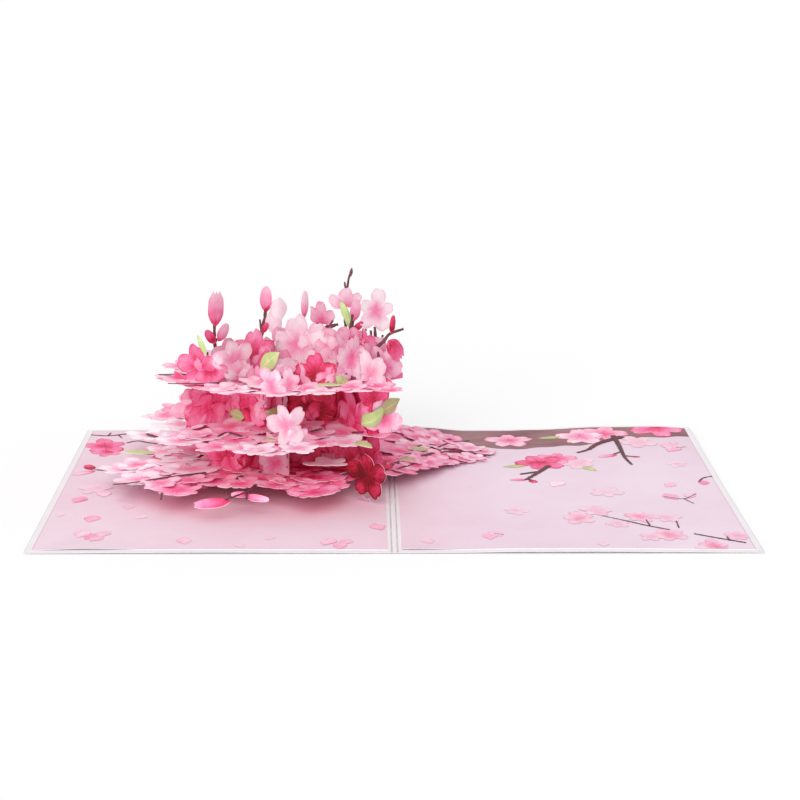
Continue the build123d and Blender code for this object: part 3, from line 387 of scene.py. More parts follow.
        ('B', -36.3, -10.3, 8.0, 250, 4.4),
        ('B', -18.9, -14.8, 7.2, 40, 3.7),
        ('T', ((-84.1, -38.7), (-83.6, -48.2)), 0.9, 0.7, 0, 0),
        ('B', 0.7, 52.7, 10.0, 60, 2),
        ('B', 6.6, 65.7, 9.0, 20, 1.8),
        ('B', 2.8, 29.3, 9.6, 300, 2),
        ('B', -2.1, 10.8, 8.5, 270, 2.8),
        ('B', 12.2, 55.9, 9.4, 80, 1.8),
        ('B', 7.3, 18.1, 7.4, 290, 1.8),
        ('B', 14.6, 69.8, 8.0, 40, 1.6),
        ('B', 9.0, 41.9, 8.2, 200, 1.2),
        ('B', 20.2, 51.6, 9.2, 320, 1),
        ('B', 15.5, 30.2, 8.4, 150, 1.5),
        ('B', 16.1, 22.7, 7.0, 300, 1.9),
        ('B', 19.9, 66.7, 7.8, 100, 1.5),
        ('B', 25.5, 62.2, 7.6, 60, 1.3),
        ('B', 27.7, 47.0, 7.8, 330, 1),
        ('B', 22.1, 36.4, 7.0, 30, 1.4),
        ('B', 32.8, 52.6, 7.2, 20, 1.1),
        ('B', 32.9, 37.9, 6.4, 330, 0.9),
        ('B', 38.7, 47.6, 5.4, 100, 0.8),
        ('T', ((4.9, 14.9), (14.7, 31.3), (24.7, 43.2), (32.0, 44.4), (40.7, 41.1)), 1.0, 1.5, 0, 0),
        ('T', ((-1.4, 1.6), (4.9, 14.9), (14.7, 31.3), (22.4, 46.5)), 1.9, 1.1, 0, 0),
        ('T', ((11.0, 41.7), (19.6, 57.9), (29.8, 67.0)), 1.2, 0.8, 0, 0),
        ('T', ((1.2, -3.0), (4.8, 5.5), (11.2, 16.1)), 0.9, 1.2, 0, 0),
        ('T', ((18.3, 43.6), (25.3, 58.7), (33.1, 66.2)), 0.8, 1.1, 0, 0),
        ('T', ((2.7, 19.6), (7.5, 27.8), (13.0, 26.9)), 0.8, 0.9, 0, 0),
        ('L', 14.5, 37.6, 9.5, -144, 0.6, 0.24),
        ('L', 8.5, 19.0, 9.0, -128, 1, 0.22),
        ('B', 3.5, 0.5, 7.0, 40, 2.4),
        ('B', 9.0, 9.5, 7.2, 110, 2.0),
        ('B', 14.5, 17.5, 7.0, 70, 1.8),
        ('B', 21.0, 26.0, 6.6, 20, 1.6),
        ('B', 28.0, 34.0, 6.2, 130, 1.4),
    ],
    'tab_blossom': [
        ('B', -24.3, -11.2, 8.9, 255, -0.4),
    ],
}
LEFT_PRINT = [
    ('B', -114.2, 50.5, 6.4, 40, 2.6),
    ('B', -116.5, 60.6, 9.6, 100, 3.3),
    ('T', ((-125.0, 79.7), (-117.3, 77.8), (-109.7, 81.0)), 0.8, 1.1, 0, 0),
    ('T', ((-117.3, 77.8), (-116.6, 83.0)), 0.7, 0.5, 0, 0),
    ('T', ((-113.3, 79.4), (-111.1, 74.1)), 0.7, 0.5, 0, 0),
    ('T', ((-115.9, 21.8), (-109.5, 20.2)), 0.8, 1.0, 0, 0),
    ('T', ((-112.4, 21.8), (-112.0, 28.0)), 0.7, 0.5, 0, 0),
    ('U', -115.7, 20.3, 10.2, -143, 1.8, 0.2),
    ('U', -117.1, 21.8, 8.3, 110, 4.4, 0.25),
    ('B', -112.5, -6.7, 6.4, 20, 0.7),
    ('P', -108.3, -13.9, 9.2, 98, 1.0),
    ('P', -116.5, -22.3, 9.2, 71, 2.0),
    ('P', -108.6, -48.1, 9.5, 80, 2.0),
    ('P', -97.3, -32.0, 7.1, 89, 1.0),
    ('P', -91.2, -45.6, 6.5, 62, 1.0),
    ('P', -73.2, -76.7, 8.5, 98, 1.4),
    ('P', -106.4, -71.2, 7.8, 71, 2.2),
    ('P', -104.0, -73.8, 7.5, 62, 1.8),
    ('P', -109.7, -67.4, 9.5, 80, 1.2),
    ('P', -102.3, -67.6, 8.5, 80, 1.2),
    ('P', -18.9, -82.7, 7.8, 89, 2.0),
    ('P', -16.9, -77.8, 7.5, 71, 1.6),
    ('P', -23.1, -77.8, 9.2, 71, 1.4),
    ('P', -5.6, -58.9, 9.2, 107, 1.6),
    ('P', -53.4, -83.0, 5.4, 116, 1.0),
    ('P', -120.8, -42.7, 5.1, 89, 1.0),
    ('P', -43.5, -73.0, 5.8, 62, 1.0),
]
RIGHT_PRINT = [
    ('B', 49.3, 68.8, 9.6, 20, 1.3),
    ('L', 71.3, 73.5, 9.8, -172, 0.5, 0.2),
    ('B', 89.0, 76.0, 10.2, 75, 1.6),
    ('B', 79.1, 72.1, 10.2, 20, 1.2),
    ('B', 112.8, 84.9, 12.0, 60, 2.6),
    ('B', 101.7, 63.0, 7.8, 120, 0.8),
    ('T', ((96.4, 71.1), (89.5, 64.9), (84.3, 58.8), (80.3, 51.3), (75.4, 47.0)), 3.8, 1.3, 0, 0),
    ('T', ((92.9, 72.7), (93.5, 60.1), (93.7, 47.7), (93.9, 38.5), (95.4, 27.9)), 2.4, 1.0, 0, 0),
    ('T', ((93.3, 47.7), (89.2, 43.1)), 1.0, 0.8, 0, 0),
    ('U', 91.2, 43.1, 8.5, -160, 2.4, 0.2),
    ('T', ((93.8, 41.5), (97.7, 40.0)), 1.1, 0.8, 0, 0),
    ('U', 96.9, 40.0, 3.2, -2, 4.6, 0.25),
    ('B', 74.4, 31.5, 7.6, 40, 0.9),
    ('B', 66.2, 38.2, 8.0, 80, 2.6),
    ('B', 59.3, 32.1, 9.8, 110, 3.6),
    ('L', 53.0, 27.5, 8.9, -171, 0.4, 0.2),
    ('L', 75.7, 25.3, 7.9, -52, 0.2, 0.22),
    ('T', ((62.5, 27.3), (57.3, 16.6), (51.8, 6.1)), 2.4, 1.5, 0, 0),
    ('T', ((57.4, 18.1), (50.1, 14.4)), 2.0, 1.4, 0, 0),
    ('T', ((52.3, 7.6), (55.5, 3.1)), 1.1, 0.9, 0, 0),
    ('U', 52.2, 6.1, 6.5, 180, 2.2, 0.22),
    ('U', 53.4, 6.1, 4.9, -66, 4.8, 0.3),
    ('P', 115.0, 52.1, 10.5, 62, 1.8),
    ('P', 113.2, 56.6, 8.8, 89, 1.4),
    ('T', ((116.5, 53.8), (120.9, 56.0)), 0.4, 0.3, 0, 0),
    ('P', 116.7, 61.7, 5.8, 80, 1.8),
    ('B', 113.5, 29.2, 4.2, 30, 0.6),
    ('T', ((118.2, 2.7), (121.0, 8.6), (126.2, 11.6)), 0.8, 0.7, 0, 0),
    ('P', 119.9, 1.2, 6.5, 80, 2.6),
    ('P', 106.4, -1.7, 7.5, 62, 1.6),
    ('P', 63.3, 0.1, 9.5, 62, 0.9),
    ('B', 81.2, -11.7, 6.5, 60, 0.4),
    ('T', ((101.8, -18.8), (108.9, -21.7), (114.5, -14.6)), 0.5, 0.4, 0, 0),
    ('T', ((108.9, -21.7), (111.7, -28.7)), 0.4, 0.3, 0, 0),
    ('P', 104.5, -18.8, 9.2, 116, 1.6),
    ('P', 111.8, -17.5, 7.1, 80, 1.3),
    ('B', 45.0, -38.1, 4.7, 70, 0.5),
    ('P', 33.6, -70.9, 9.2, 89, 1.8),
    ('P', 36.2, -68.5, 7.5, 116, 1.4),
    ('T', ((35.2, -68.4), (38.6, -69.8)), 0.3, 0.3, 0, 0),
    ('P', 11.7, -76.6, 7.8, 107, 1.3),
    ('T', ((75.8, -45.0), (83.7, -51.7)), 0.4, 0.6, 0, 0),
    ('T', ((83.7, -51.7), (90.8, -58.2), (98.0, -63.4)), 0.8, 0.7, 0, 0),
    ('T', ((105.8, -68.5), (112.8, -73.4), (122.3, -79.4)), 0.8, 0.9, 0, 0),
    ('T', ((91.5, -58.2), (91.1, -50.3)), 0.7, 0.4, 0, 0),
    ('T', ((101.5, -60.8), (101.8, -51.7)), 0.6, 0.4, 0, 0),
    ('T', ((117.1, -77.0), (116.8, -72.1)), 0.7, 0.5, 0, 0),
    ('B', 74.3, -38.2, 6.0, 10, 0.9),
    ('B', 67.1, -47.7, 6.8, 100, 1.4),
    ('B', 80.4, -55.7, 4.4, 30, 0.8),
    ('B', 89.4, -46.3, 6.0, 80, 1.6),
    ('B', 99.4, -47.7, 5.2, 20, 0.8),
    ('B', 96.7, -69.8, 6.8, 45, 1.4),
    ('B', 110.5, -83.3, 6.4, 90, 1.6),
    ('B', 120.9, -70.8, 5.0, 10, 1.1),
    ('P', 105.3, -85.9, 5.8, 62, 1.0),
    ('P', 72.5, -81.6, 6.5, 89, 1.0),
    ('B', 90.4, -72.4, 4.6, 0, 0.9),
]


# ------------------------------------------------------------------ small helpers
def ease(t):
    t = min(max(t, 0.0), 1.0)
    return t * t * (3 - 2 * t)


def along(table, x):
    if x <= table[0][0]:
        return table[0][1]
    for (a, p), (b, q) in zip(table, table[1:]):
        if x <= b:
            return p + (q - p) * ease((x - a) / (b - a))
    return table[-1][1]


def lift(x, y):
    start = 46 - 66 * ease((x + 10) / 20)     # the left panel stays flat under the uprights' feet
    back = max((y - start) / (89 - start), 0.0)
    front = max((-y - 30) / 59, 0.0)
    return along(BACK_LIFT, x) * back ** 2 + along(FRONT_LIFT, x) * front ** 1.5


def lobe(f, a, b, c):
    p = c * math.cos(f) / a ** 2
    d = (math.cos(f) / a) ** 2 + (math.sin(f) / b) ** 2
    return (p + math.sqrt(max(p * p - d * (c * c / a ** 2 - 1), 0))) / d


# ------------------------------------------------------------------ where a sheet's points lie
def level(z):
    return lambda u, v, n: (u * MM, v * MM, (z + n) * MM)


def strap(u, v, n):
    drop = LOWER_Z - PAGE_Z
    run = math.hypot(STRAP_END_X - STRAP_X, drop)
    c, s = (STRAP_END_X - STRAP_X) / run, drop / run
    if u < STRAP_X:
        return u * MM, v * MM, (LOWER_Z + n) * MM
    if u < STRAP_X + run:
        d = u - STRAP_X
        k = ease(min(d / 1.5, 1.0))
        return (STRAP_X + c * d + s * n * k) * MM, v * MM, (LOWER_Z - s * d + n * (1 - k + k * c)) * MM
    x = STRAP_END_X + u - STRAP_X - run
    return x * MM, v * MM, (PAGE_Z + lift(x, v) + n) * MM


def zigzag(name):
    fold = FOLDS[name]
    base, band, above = BANDS[name]
    runs = [0.0]
    for a, b in zip(fold, fold[1:]):
        runs.append(runs[-1] + math.dist(a, b))
    dirs = [((b[0] - a[0]) / math.dist(a, b), (b[1] - a[1]) / math.dist(a, b)) for a, b in zip(fold, fold[1:])]

    def put(s, z, n):
        i = 0
        while i < len(dirs) - 1 and s > runs[i + 1]:
            i += 1
        d = dirs[i]
        nx, ny = d[1], -d[0]
        for k in (i, i + 1):
            if 0 < k < len(dirs) and abs(s - runs[k]) < 0.8:
                w = 0.5 + 0.5 * (s - runs[k]) / 0.8
                e0, e1 = dirs[k - 1], dirs[k]
                nx, ny = e0[1] * (1 - w) + e1[1] * w, -(e0[0] * (1 - w) + e1[0] * w)
        if z < base:
            z = base + 0.02 * (z - base) * 0.1
        if above and z > above:
            z = above + 0.002 * (z - above)
        q = s - runs[i]
        return (fold[i][0] + d[0] * q + nx * n) * MM, (fold[i][1] + d[1] * q + ny * n) * MM, z * MM

    return put, runs


# ------------------------------------------------------------------ paper shells
PETAL, WASH, LEAF, TWIG, EDGE, PAGE, WHITE, BOUGH = range(8)


class Sheet:
    """Closed paper shells collected into one mesh, with the values that its print is painted from."""

    def __init__(self, place):
        self.place = place
        self.v, self.f, self.m = [], [], []
        self.data = {"tone": [], "rad": [], "lat": [], "seed": [], "ink": [], "painted_shading": []}
        self.ink = 0.0
        # share of painted shade that darkens this sheet's print; a negative share is painted light that lightens it
        self.painted_shading = 0.0
        self.rim = EDGE

    def shell(self, pts, faces, rim, thick, mat, rim_mat):
        b, k = len(self.v), len(pts)
        for side in (0, 1):
            for u, v, n, tone, rad, lat, seed in pts:
                self.v.append(self.place(u, v, n - side * thick))
                self.data["tone"].append(tone)
                self.data["rad"].append(rad)
                self.data["lat"].append(lat)
                self.data["seed"].append(seed)
                self.data["ink"].append(self.ink)
                self.data["painted_shading"].append(self.painted_shading)
        for f in faces:
            self.f.append([b + i for i in f])
            self.f.append([b + k + i for i in reversed(f)])
            self.m += [mat, mat]
        for i, j in zip(rim, rim[1:] + rim[:1]):
            self.f.append([b + j, b + i, b + k + i, b + k + j])
            self.m.append(rim_mat)

    def polar(self, centre, rings, thick, mat, rim_mat):
        """centre and rings of points, from the inside out."""
        n = len(rings[0])
        pts = [centre] + [p for r in rings for p in r]
        faces = [(0, 1 + j, 1 + (j + 1) % n) for j in range(n)]
        for k in range(len(rings) - 1):
            a, b = 1 + k * n, 1 + (k + 1) * n
            faces += [(a + j, b + j, b + (j + 1) % n, a + (j + 1) % n) for j in range(n)]
        last = 1 + (len(rings) - 1) * n
        self.shell(pts, faces, [last + j for j in range(n)], thick, mat, rim_mat)

    def grid(self, rows, thick, mat, rim_mat):
        """rows of points of equal length."""
        ni, nj = len(rows), len(rows[0])
        pts = [p for r in rows for p in r]
        faces = [(i * nj + j, i * nj + j + 1, (i + 1) * nj + j + 1, (i + 1) * nj + j) for i in range(ni - 1) for j in range(nj - 1)]
        rim = [j for j in range(nj)] + [i * nj + nj - 1 for i in range(1, ni)]
        rim += [(ni - 1) * nj + j for j in range(nj - 2, -1, -1)] + [i * nj for i in range(ni - 2, 0, -1)]
        self.shell(pts, faces, rim, thick, mat, rim_mat)

    # ---- printed shapes
    def blossom(self, u, v, r, rot, tone, n0, cup=0.05, tilt=(0.0, 0.0), thick=0.2, ripple=0.03, twist=0.018, na=60, rim=EDGE):
        slim = 0.345 if tone < 1.0 or self.ink else 0.385
        stretch = 1.25 if self.ink else 1.0
        seed = rng.random()
        ph = rng.uniform(0, 6.28)
        rings = []
        radii = (0.10, 0.24, 0.42, 0.62, 0.82, 0.955, 1.0)
        swing = [rng.uniform(-1, 1) for _ in range(5)]
        for p in radii:
            ring = []
            for i in range(na):
                a = 360.0 * i / na
                k = int((a + 36) // 72)
                f = math.radians(a - 72 * k)
                grow = 1 + 0.12 * math.sin(2.3 * k + u + 0.7 * v)
                q = r * grow * lobe(f, 0.50, slim, 0.50) * (1 - 0.09 * math.exp(-(f / 0.09) ** 2))
                q *= 1 + 0.012 * math.sin(9 * math.radians(a) + ph) + 0.008 * math.sin(23 * math.radians(a) + 2 * ph)
                w = math.radians(rot + a)
                x, y = q * p * math.cos(w), q * p * math.sin(w) * stretch
                s = swing[k % 5]
                n = n0 + r * (cup * (1 + 0.6 * s) * p * p + ripple * p * p * math.cos(5 * math.radians(a)) + twist * p * math.sin(2 * w + ph))
                n += tilt[0] * x + tilt[1] * y
                ring.append((u + x, v + y, n, tone + 0.28 * s, p, math.degrees(f) / 36, seed))
            rings.append(ring)
        self.polar((u, v, n0, tone, 0.0, 0.0, seed), rings, thick, PETAL, rim)

    def half(self, u, v, r, rot, tone, n0, thick=0.2, rim=EDGE):
        seed = rng.random()
        na = 46
        out = []
        for i in range(na + 1):
            f = -92 + 184.0 * i / na
            q, lat = 0.0, 1.0
            for p, g in ((-52, 0.92), (0, 1.0), (50, 0.95)):
                h = math.radians(f - p)
                if abs(h) < 1.55:
                    c = g * (2 * math.cos(h) / 0.5) / ((math.cos(h) / 0.5) ** 2 + (math.sin(h) / 0.30) ** 2)
                    c *= 1 - 0.07 * math.exp(-(h / 0.09) ** 2)
                    if c > q:
                        q, lat = c, (f - p) / 28
            out.append((max(q, 0.10) * r, math.radians(rot + f), max(-1, min(1, lat))))
        rows = []
        for p in (0.05, 0.25, 0.45, 0.65, 0.85, 0.965, 1.0):
            rows.append([(u + q * p * math.cos(w), v + q * p * math.sin(w), n0 + 0.05 * r * p * p + 0.02 * r * p * math.cos(3.4 * (w - math.radians(rot))),
                          tone + 0.9 * (0.55 - p), 0.25 + 0.75 * p if p > 0.6 else 0.30 + 0.55 * p, lat, seed) for q, w, lat in out])
        self.grid(rows, thick, PETAL, rim)

    def spindle(self, u, v, length, rot, half, power, n0, mat, tone, seed, bulge, thick, rim, calyx=0.0, notch=False, oval=False, tilt=(0.0, 0.0)):
        c, s = math.cos(math.radians(rot)), math.sin(math.radians(rot))
        rows = []
        nt = 16
        open_top = length > 11 or half >= 0.3
        for i in range(nt + 1):
            t = 1 - (1 - i / nt) ** 1.5 if oval else i / nt
            w = half * math.sin(math.pi * t ** power) + 0.018
            if oval:
                if t < 0.42:
                    w = math.sin(math.pi / 2 * t / 0.42) ** 0.8
                elif open_top:
                    w = math.sqrt(1 - ((t - 0.42) / 0.68) ** 3)
                else:
                    w = math.sqrt(max(1 - ((t - 0.42) / 0.58) ** 2.2, 0.0))
                w = half * w + 0.015
            row = []
            for j in range(-6, 7):
                l = j / 6
                tt = t
                if notch:
                    tt = t * (1 - 0.10 * math.exp(-(l / 0.3) ** 2) * ease((t - 0.6) / 0.4))
                if oval and open_top:
                    tt = t + (0.05 * math.cos(l * 9.4) - 0.05) * ease((t - 0.66) / 0.34)
                x, y = length * tt, length * w * l
                n = n0 + bulge * length * (1 - l * l) * math.sin(math.pi * t) + tilt[0] * (x * c - y * s) + tilt[1] * (x * s + y * c)
                shade = tone
                if calyx:
                    shade = 5.2 - 0.8 * abs(l) if t < calyx * (0.55 + 0.45 * math.cos(l * 9.4)) else tone + 2.6 * (1 - t) ** 1.6 - 0.55
                rim_near = max(abs(l), 1 - min(t, 1 - t) * 6)
                rad = 0.70 + 0.30 * ease((rim_near - 0.7) / 0.3)
                if mat == LEAF:
                    rad = t
                row.append((u + x * c - y * s, v + x * s + y * c, n, shade, rad, l if mat == LEAF else 0.5 * l, seed))
            rows.append(row)
        self.grid(rows, thick, mat, rim)

    def bud(self, u, v, length, rot, tone, half, n0, thick=0.2, rim=EDGE, tilt=(0.0, 0.0)):
        if tone >= 6:       # a closed brown tip
            self.spindle(u, v, length, rot, 0.17, 0.9, n0, TWIG, 0, rng.random(), 0.03, thick, TWIG)
        else:
            self.spindle(u, v, length, rot, half, 0.9, n0, PETAL, tone, rng.random(), 0.03, thick, rim, calyx=0.19 if length > 11 else 0.26, oval=True, tilt=tilt)

    def leaf(self, u, v, length, rot, tone, half, n0, thick=0.2, rim=EDGE):
        self.spindle(u, v, length, rot, half, 0.8, n0, LEAF, tone, rng.random(), 0.04, thick, rim)

    def petal(self, u, v, length, rot, tone, n0, thick=0.02, rim=PETAL):
        a = math.radians(rot)
        self.spindle(u - 0.5 * length * math.cos(a), v - 0.5 * length * math.sin(a), length, rot, 0.30, 1.25, n0, PETAL, tone, rng.random(), 0.0, thick, rim, notch=True)

    def twig(self, pts, w0, w1, n0, thick=0.2, rim=TWIG):
        seed = rng.random()
        line = []
        m = len(pts)
        for i in range(m - 1):
            a, b = pts[max(i - 1, 0)], pts[i]
            c, d = pts[i + 1], pts[min(i + 2, m - 1)]
            steps = max(4, int(math.dist(b, c) / 1.2))
            for k in range(steps):
                t = k / steps
                line.append(tuple(0.5 * (2 * b[x] + (c[x] - a[x]) * t + (2 * a[x] - 5 * b[x] + 4 * c[x] - d[x]) * t * t + (3 * b[x] - a[x] - 3 * c[x] + d[x]) * t ** 3) for x in (0, 1)))
        line.append(pts[-1])
        rows = []
        ph = rng.uniform(0, 6)
        for i, p in enumerate(line):
            a, b = line[max(i - 1, 0)], line[min(i + 1, len(line) - 1)]
            d = math.dist(a, b) or 1.0
            nx, ny = -(b[1] - a[1]) / d, (b[0] - a[0]) / d
            t = i / (len(line) - 1)
            w = 0.5 * (w0 + (w1 - w0) * t) * (1 + 0.16 * math.sin(4.1 * i * 0.6 + ph) + 0.10 * math.sin(2.3 * i + 2 * ph))
            rows.append([(p[0] + nx * w * l, p[1] + ny * w * l, n0 + 0.10 * w * (1 - l * l), 0.0, t, l, seed) for l in (-1, -0.5, 0, 0.5, 1)])
        self.grid(rows, thick, TWIG, rim)

    def element(self, e, n0, cup=0.05, tilt=(0, 0), flat=False):
        k = e[0]
        kw = {"thick": 0.012, "rim": PETAL} if flat else {"rim": self.rim}
        if k == "B":
            self.blossom(e[1], e[2], e[3], e[4], e[5], n0, 0.0 if flat else cup, tilt, ripple=0.0 if flat else 0.03, twist=0.0 if flat else 0.018, **kw)
        elif k == "H":
            self.half(e[1], e[2], e[3], e[4], e[5], n0, **kw)
        elif k == "U":
            self.bud(e[1], e[2], e[3], e[4], e[5], e[6] if len(e) > 6 else 0.2, n0, tilt=tilt, **kw)
        elif k == "L":
            self.leaf(e[1], e[2], e[3], e[4], e[5], e[6] if len(e) > 6 else 0.19, n0, **(dict(kw, rim=LEAF) if flat else kw))
        elif k == "P":
            self.petal(e[1], e[2], e[3], e[4], e[5], n0, **(kw if flat else dict(kw, thick=0.2)))
        elif k == "T":
            self.twig(e[1], e[2], e[3], n0, **({"thick": 0.012} if flat else {}))

    def finish(self, name, node):
        me = bpy.data.meshes.new(name)
        me.from_pydata(self.v, [], self.f)
        for key, vals in self.data.items():
            at = me.attributes.new(key, "FLOAT", "POINT")
            at.data.foreach_set("value", vals)
        used = sorted(set(self.m))
        for k in used:
            me.materials.append(MATERIALS[k])
        where = {k: i for i, k in enumerate(used)}
        me.polygons.foreach_set("material_index", [where[k] for k in self.m])
        bm = bmesh.new()
        bm.from_mesh(me)
        bmesh.ops.recalc_face_normals(bm, faces=bm.faces)
        bm.to_mesh(me)
        bm.free()
        me.polygons.foreach_set("use_smooth", [True] * len(me.polygons))
        me.set_sharp_from_angle(angle=math.radians(38))
        me.update()
        ob = bpy.data.objects.new(name, me)
        bpy.context.scene.collection.objects.link(ob)
        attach(ob, "root")
        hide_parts(node)
        return ob


# ------------------------------------------------------------------ materials
def srgb(r, g, b):
    f = lambda c: c / 12.92 if c <= 0.04045 else ((c + 0.055) / 1.055) ** 2.4
    return f(r / 255), f(g / 255), f(b / 255), 1.0


class Nodes:
    def __init__(self, name):
        self.mat = bpy.data.materials.new(name)
        self.mat.use_nodes = True
        self.t = self.mat.node_tree
        self.b = self.t.nodes["Principled BSDF"]
        self.co = self.t.nodes.new("ShaderNodeTexCoord").outputs["Object"]

    def new(self, kind, **kw):
        n = self.t.nodes.new(kind)
        for k, v in kw.items():
            setattr(n, k, v)
        return n

    def to(self, sock, val):
        if isinstance(val, (int, float, tuple)):
            sock.default_value = val
        else:
            self.t.links.new(val, sock)

    def m(self, op, a, b=0.0, c=0.0, clamp=False):
        n = self.new("ShaderNodeMath", operation=op, use_clamp=clamp)
        for s, v in zip(n.inputs, (a, b, c)):
            self.to(s, v)
        return n.outputs[0]

    def sum(self, *terms):
        out = terms[0]
        for t in terms[1:]:
            out = self.m("ADD", out, t)
        return out

    def step(self, v, lo, hi, a=0.0, b=1.0):
        n = self.new("ShaderNodeMapRange", interpolation_type="SMOOTHSTEP")
        for s, x in zip(n.inputs, (v, lo, hi, a, b)):
            self.to(s, x)
        return n.outputs[0]

    def attr(self, name):
        return self.new("ShaderNodeAttribute", attribute_name=name).outputs["Fac"]

    def noise(self, scale, detail=3.0, rough=0.55, vec=None, distort=0.0):
        n = self.new("ShaderNodeTexNoise")
        self.to(n.inputs["Vector"], vec or self.co)
        n.inputs["Scale"].default_value = scale
        n.inputs["Detail"].default_value = detail
        n.inputs["Roughness"].default_value = rough
        n.inputs["Distortion"].default_value = distort
        return n.outputs["Fac"]

    def vec(self, x, y, z):
        n = self.new("ShaderNodeCombineXYZ")
        for s, v in zip(n.inputs, (x, y, z)):
            self.to(s, v)
        return n.outputs[0]

    def ramp(self, fac, stops):
        n = self.new("ShaderNodeValToRGB")
        el = n.color_ramp.elements
        while len(el) < len(stops):
            el.new(0.5)
        for e, (p, c) in zip(el, stops):
            e.position, e.color = p, srgb(*c)
        self.to(n.inputs["Fac"], fac)
        return n.outputs["Color"]

    def mix(self, fac, a, b, blend="MIX"):
        n = self.new("ShaderNodeMix", data_type="RGBA", blend_type=blend)
        self.to(n.inputs[0], fac)
        self.to(n.inputs[6], a)
        self.to(n.inputs[7], b)
        return n.outputs[2]

    def with_painted_shading(self, colour):
        """The print darkened by the sheet's share of painted shade, or lightened by painted light where that share is
        negative.
        """
        h = self.new("ShaderNodeHueSaturation")
        self.to(h.inputs["Value"], self.m("SUBTRACT", 1.0, self.attr("painted_shading")))
        self.to(h.inputs["Color"], colour)
        top = self.new("ShaderNodeVectorMath", operation="MINIMUM")   # paper never gives back all the light
        self.to(top.inputs[0], h.outputs["Color"])
        top.inputs[1].default_value = (0.985, 0.985, 0.985)
        return top.outputs[0]

    def paper(self, colour, rough=0.62, spread=0.14, grain=0.12, scale=2600.0, level=0.28):
        """Colour, roughness and bump of uncoated printed card."""
        self.to(self.b.inputs["Base Color"], colour)
        g1 = self.noise(scale, 4.0, 0.6)
        g2 = self.noise(scale * 0.22, 3.0, 0.5)
        self.to(self.b.inputs["Roughness"], self.m("ADD", self.m("MULTIPLY", g2, spread * 2), rough - spread))
        self.b.inputs["Specular IOR Level"].default_value = level
        bump = self.new("ShaderNodeBump")
        bump.inputs["Strength"].default_value = grain
        bump.inputs["Distance"].default_value = 0.0001
        self.to(bump.inputs["Height"], self.m("ADD", self.m("MULTIPLY", g1, 0.6), self.m("MULTIPLY", g2, 0.4)))
        self.to(self.b.inputs["Normal"], bump.outputs["Normal"])
        return self.mat


PINKS = [
    (0.00, (253, 238, 244)), (0.14, (250, 214, 228)), (0.28, (247, 186, 209)), (0.43, (245, 150, 187)),
    (0.58, (243, 108, 157)), (0.73, (228, 62, 108)), (0.87, (184, 24, 54)), (1.00, (114, 5, 22)),
]


def petal_print():
    n = Nodes("petal_print")
    tone = n.m("MULTIPLY_ADD", n.attr("tone"), 0.15, 0.10)
    rad, lat, seed, ink = n.attr("rad"), n.attr("lat"), n.attr("seed"), n.attr("ink")
    full = n.m("MULTIPLY", ink, 1.0, clamp=True)
    side = n.m("ABSOLUTE", lat)
    blot = n.noise(230.0, 4.0, 0.6, distort=0.4)
    fine = n.noise(900.0, 3.0, 0.6)
    vein = n.noise(2.4, 3.0, 0.6, vec=n.vec(n.m("MULTIPLY", lat, 5.0), n.m("MULTIPLY", rad, 0.9), n.m("MULTIPLY", seed, 37.0)))
    heart = n.step(rad, 0.0, 0.80, 1.0, 0.0)
    pale = n.m("MULTIPLY", n.step(rad, 0.30, 0.72), n.step(side, 0.15, 0.85, 1.0, 0.0))
    rim = n.m("MULTIPLY", n.step(rad, 0.87, 1.0), n.step(blot, 0.32, 0.56))
    gap = n.m("MULTIPLY", n.step(side, 0.80, 1.0), n.step(rad, 0.62, 1.0, 1.0, 0.0))
    star = n.m("MULTIPLY", n.step(side, 0.02, 0.16, 1.0, 0.0), n.step(rad, 0.20, 0.60, 1.0, 0.0))
    v = n.sum(
        tone,
        n.m("MULTIPLY_ADD", n.m("MULTIPLY", heart, n.m("SUBTRACT", 1.1, tone)), 0.34, -0.05),
        n.m("MULTIPLY", pale, n.m("MULTIPLY_ADD", full, 0.06, -0.10)),
        n.m("MULTIPLY", rim, n.m("MULTIPLY_ADD", full, 0.10, 0.15)),
        n.m("MULTIPLY", gap, n.m("MULTIPLY_ADD", full, 0.08, 0.16)),
        n.m("MULTIPLY", star, n.m("MULTIPLY_ADD", full, 0.12, 0.07)),
        n.m("MULTIPLY", n.m("SUBTRACT", blot, 0.5), 0.42),
        n.m("MULTIPLY", n.m("SUBTRACT", fine, 0.5), 0.12),
        n.m("MULTIPLY", n.m("SUBTRACT", vein, 0.5), 0.26),
        n.m("MULTIPLY", n.m("SUBTRACT", seed, 0.5), 0.11),
    )
    faint = n.m("SUBTRACT", ink, 1.0, clamp=True)
    page = n.ramp(blot, [(0.3, (244, 212, 225)), (0.7, (237, 196, 212))])
    return n.paper(n.with_painted_shading(n.mix(faint, n.ramp(v, PINKS), page)))


def wash_print():
    n = Nodes("wash_print")
    tone = n.m("MULTIPLY_ADD", n.attr("tone"), 0.15, 0.10)
    blot = n.noise(120.0, 4.0, 0.6, distort=0.6)
    fine = n.noise(700.0, 3.0, 0.6)
    cell = n.new("ShaderNodeTexVoronoi", feature="SMOOTH_F1")
    cell.inputs["Scale"].default_value = 135.0
    n.to(cell.inputs["Vector"], n.co)
    v = n.sum(tone, n.m("MULTIPLY", n.m("SUBTRACT", blot, 0.5), 0.45), n.m("MULTIPLY", n.m("SUBTRACT", fine, 0.5), 0.12),
              n.m("MULTIPLY", n.m("SUBTRACT", 0.42, cell.outputs["Distance"]), 0.22))
    return n.paper(n.with_painted_shading(n.ramp(v, PINKS)))


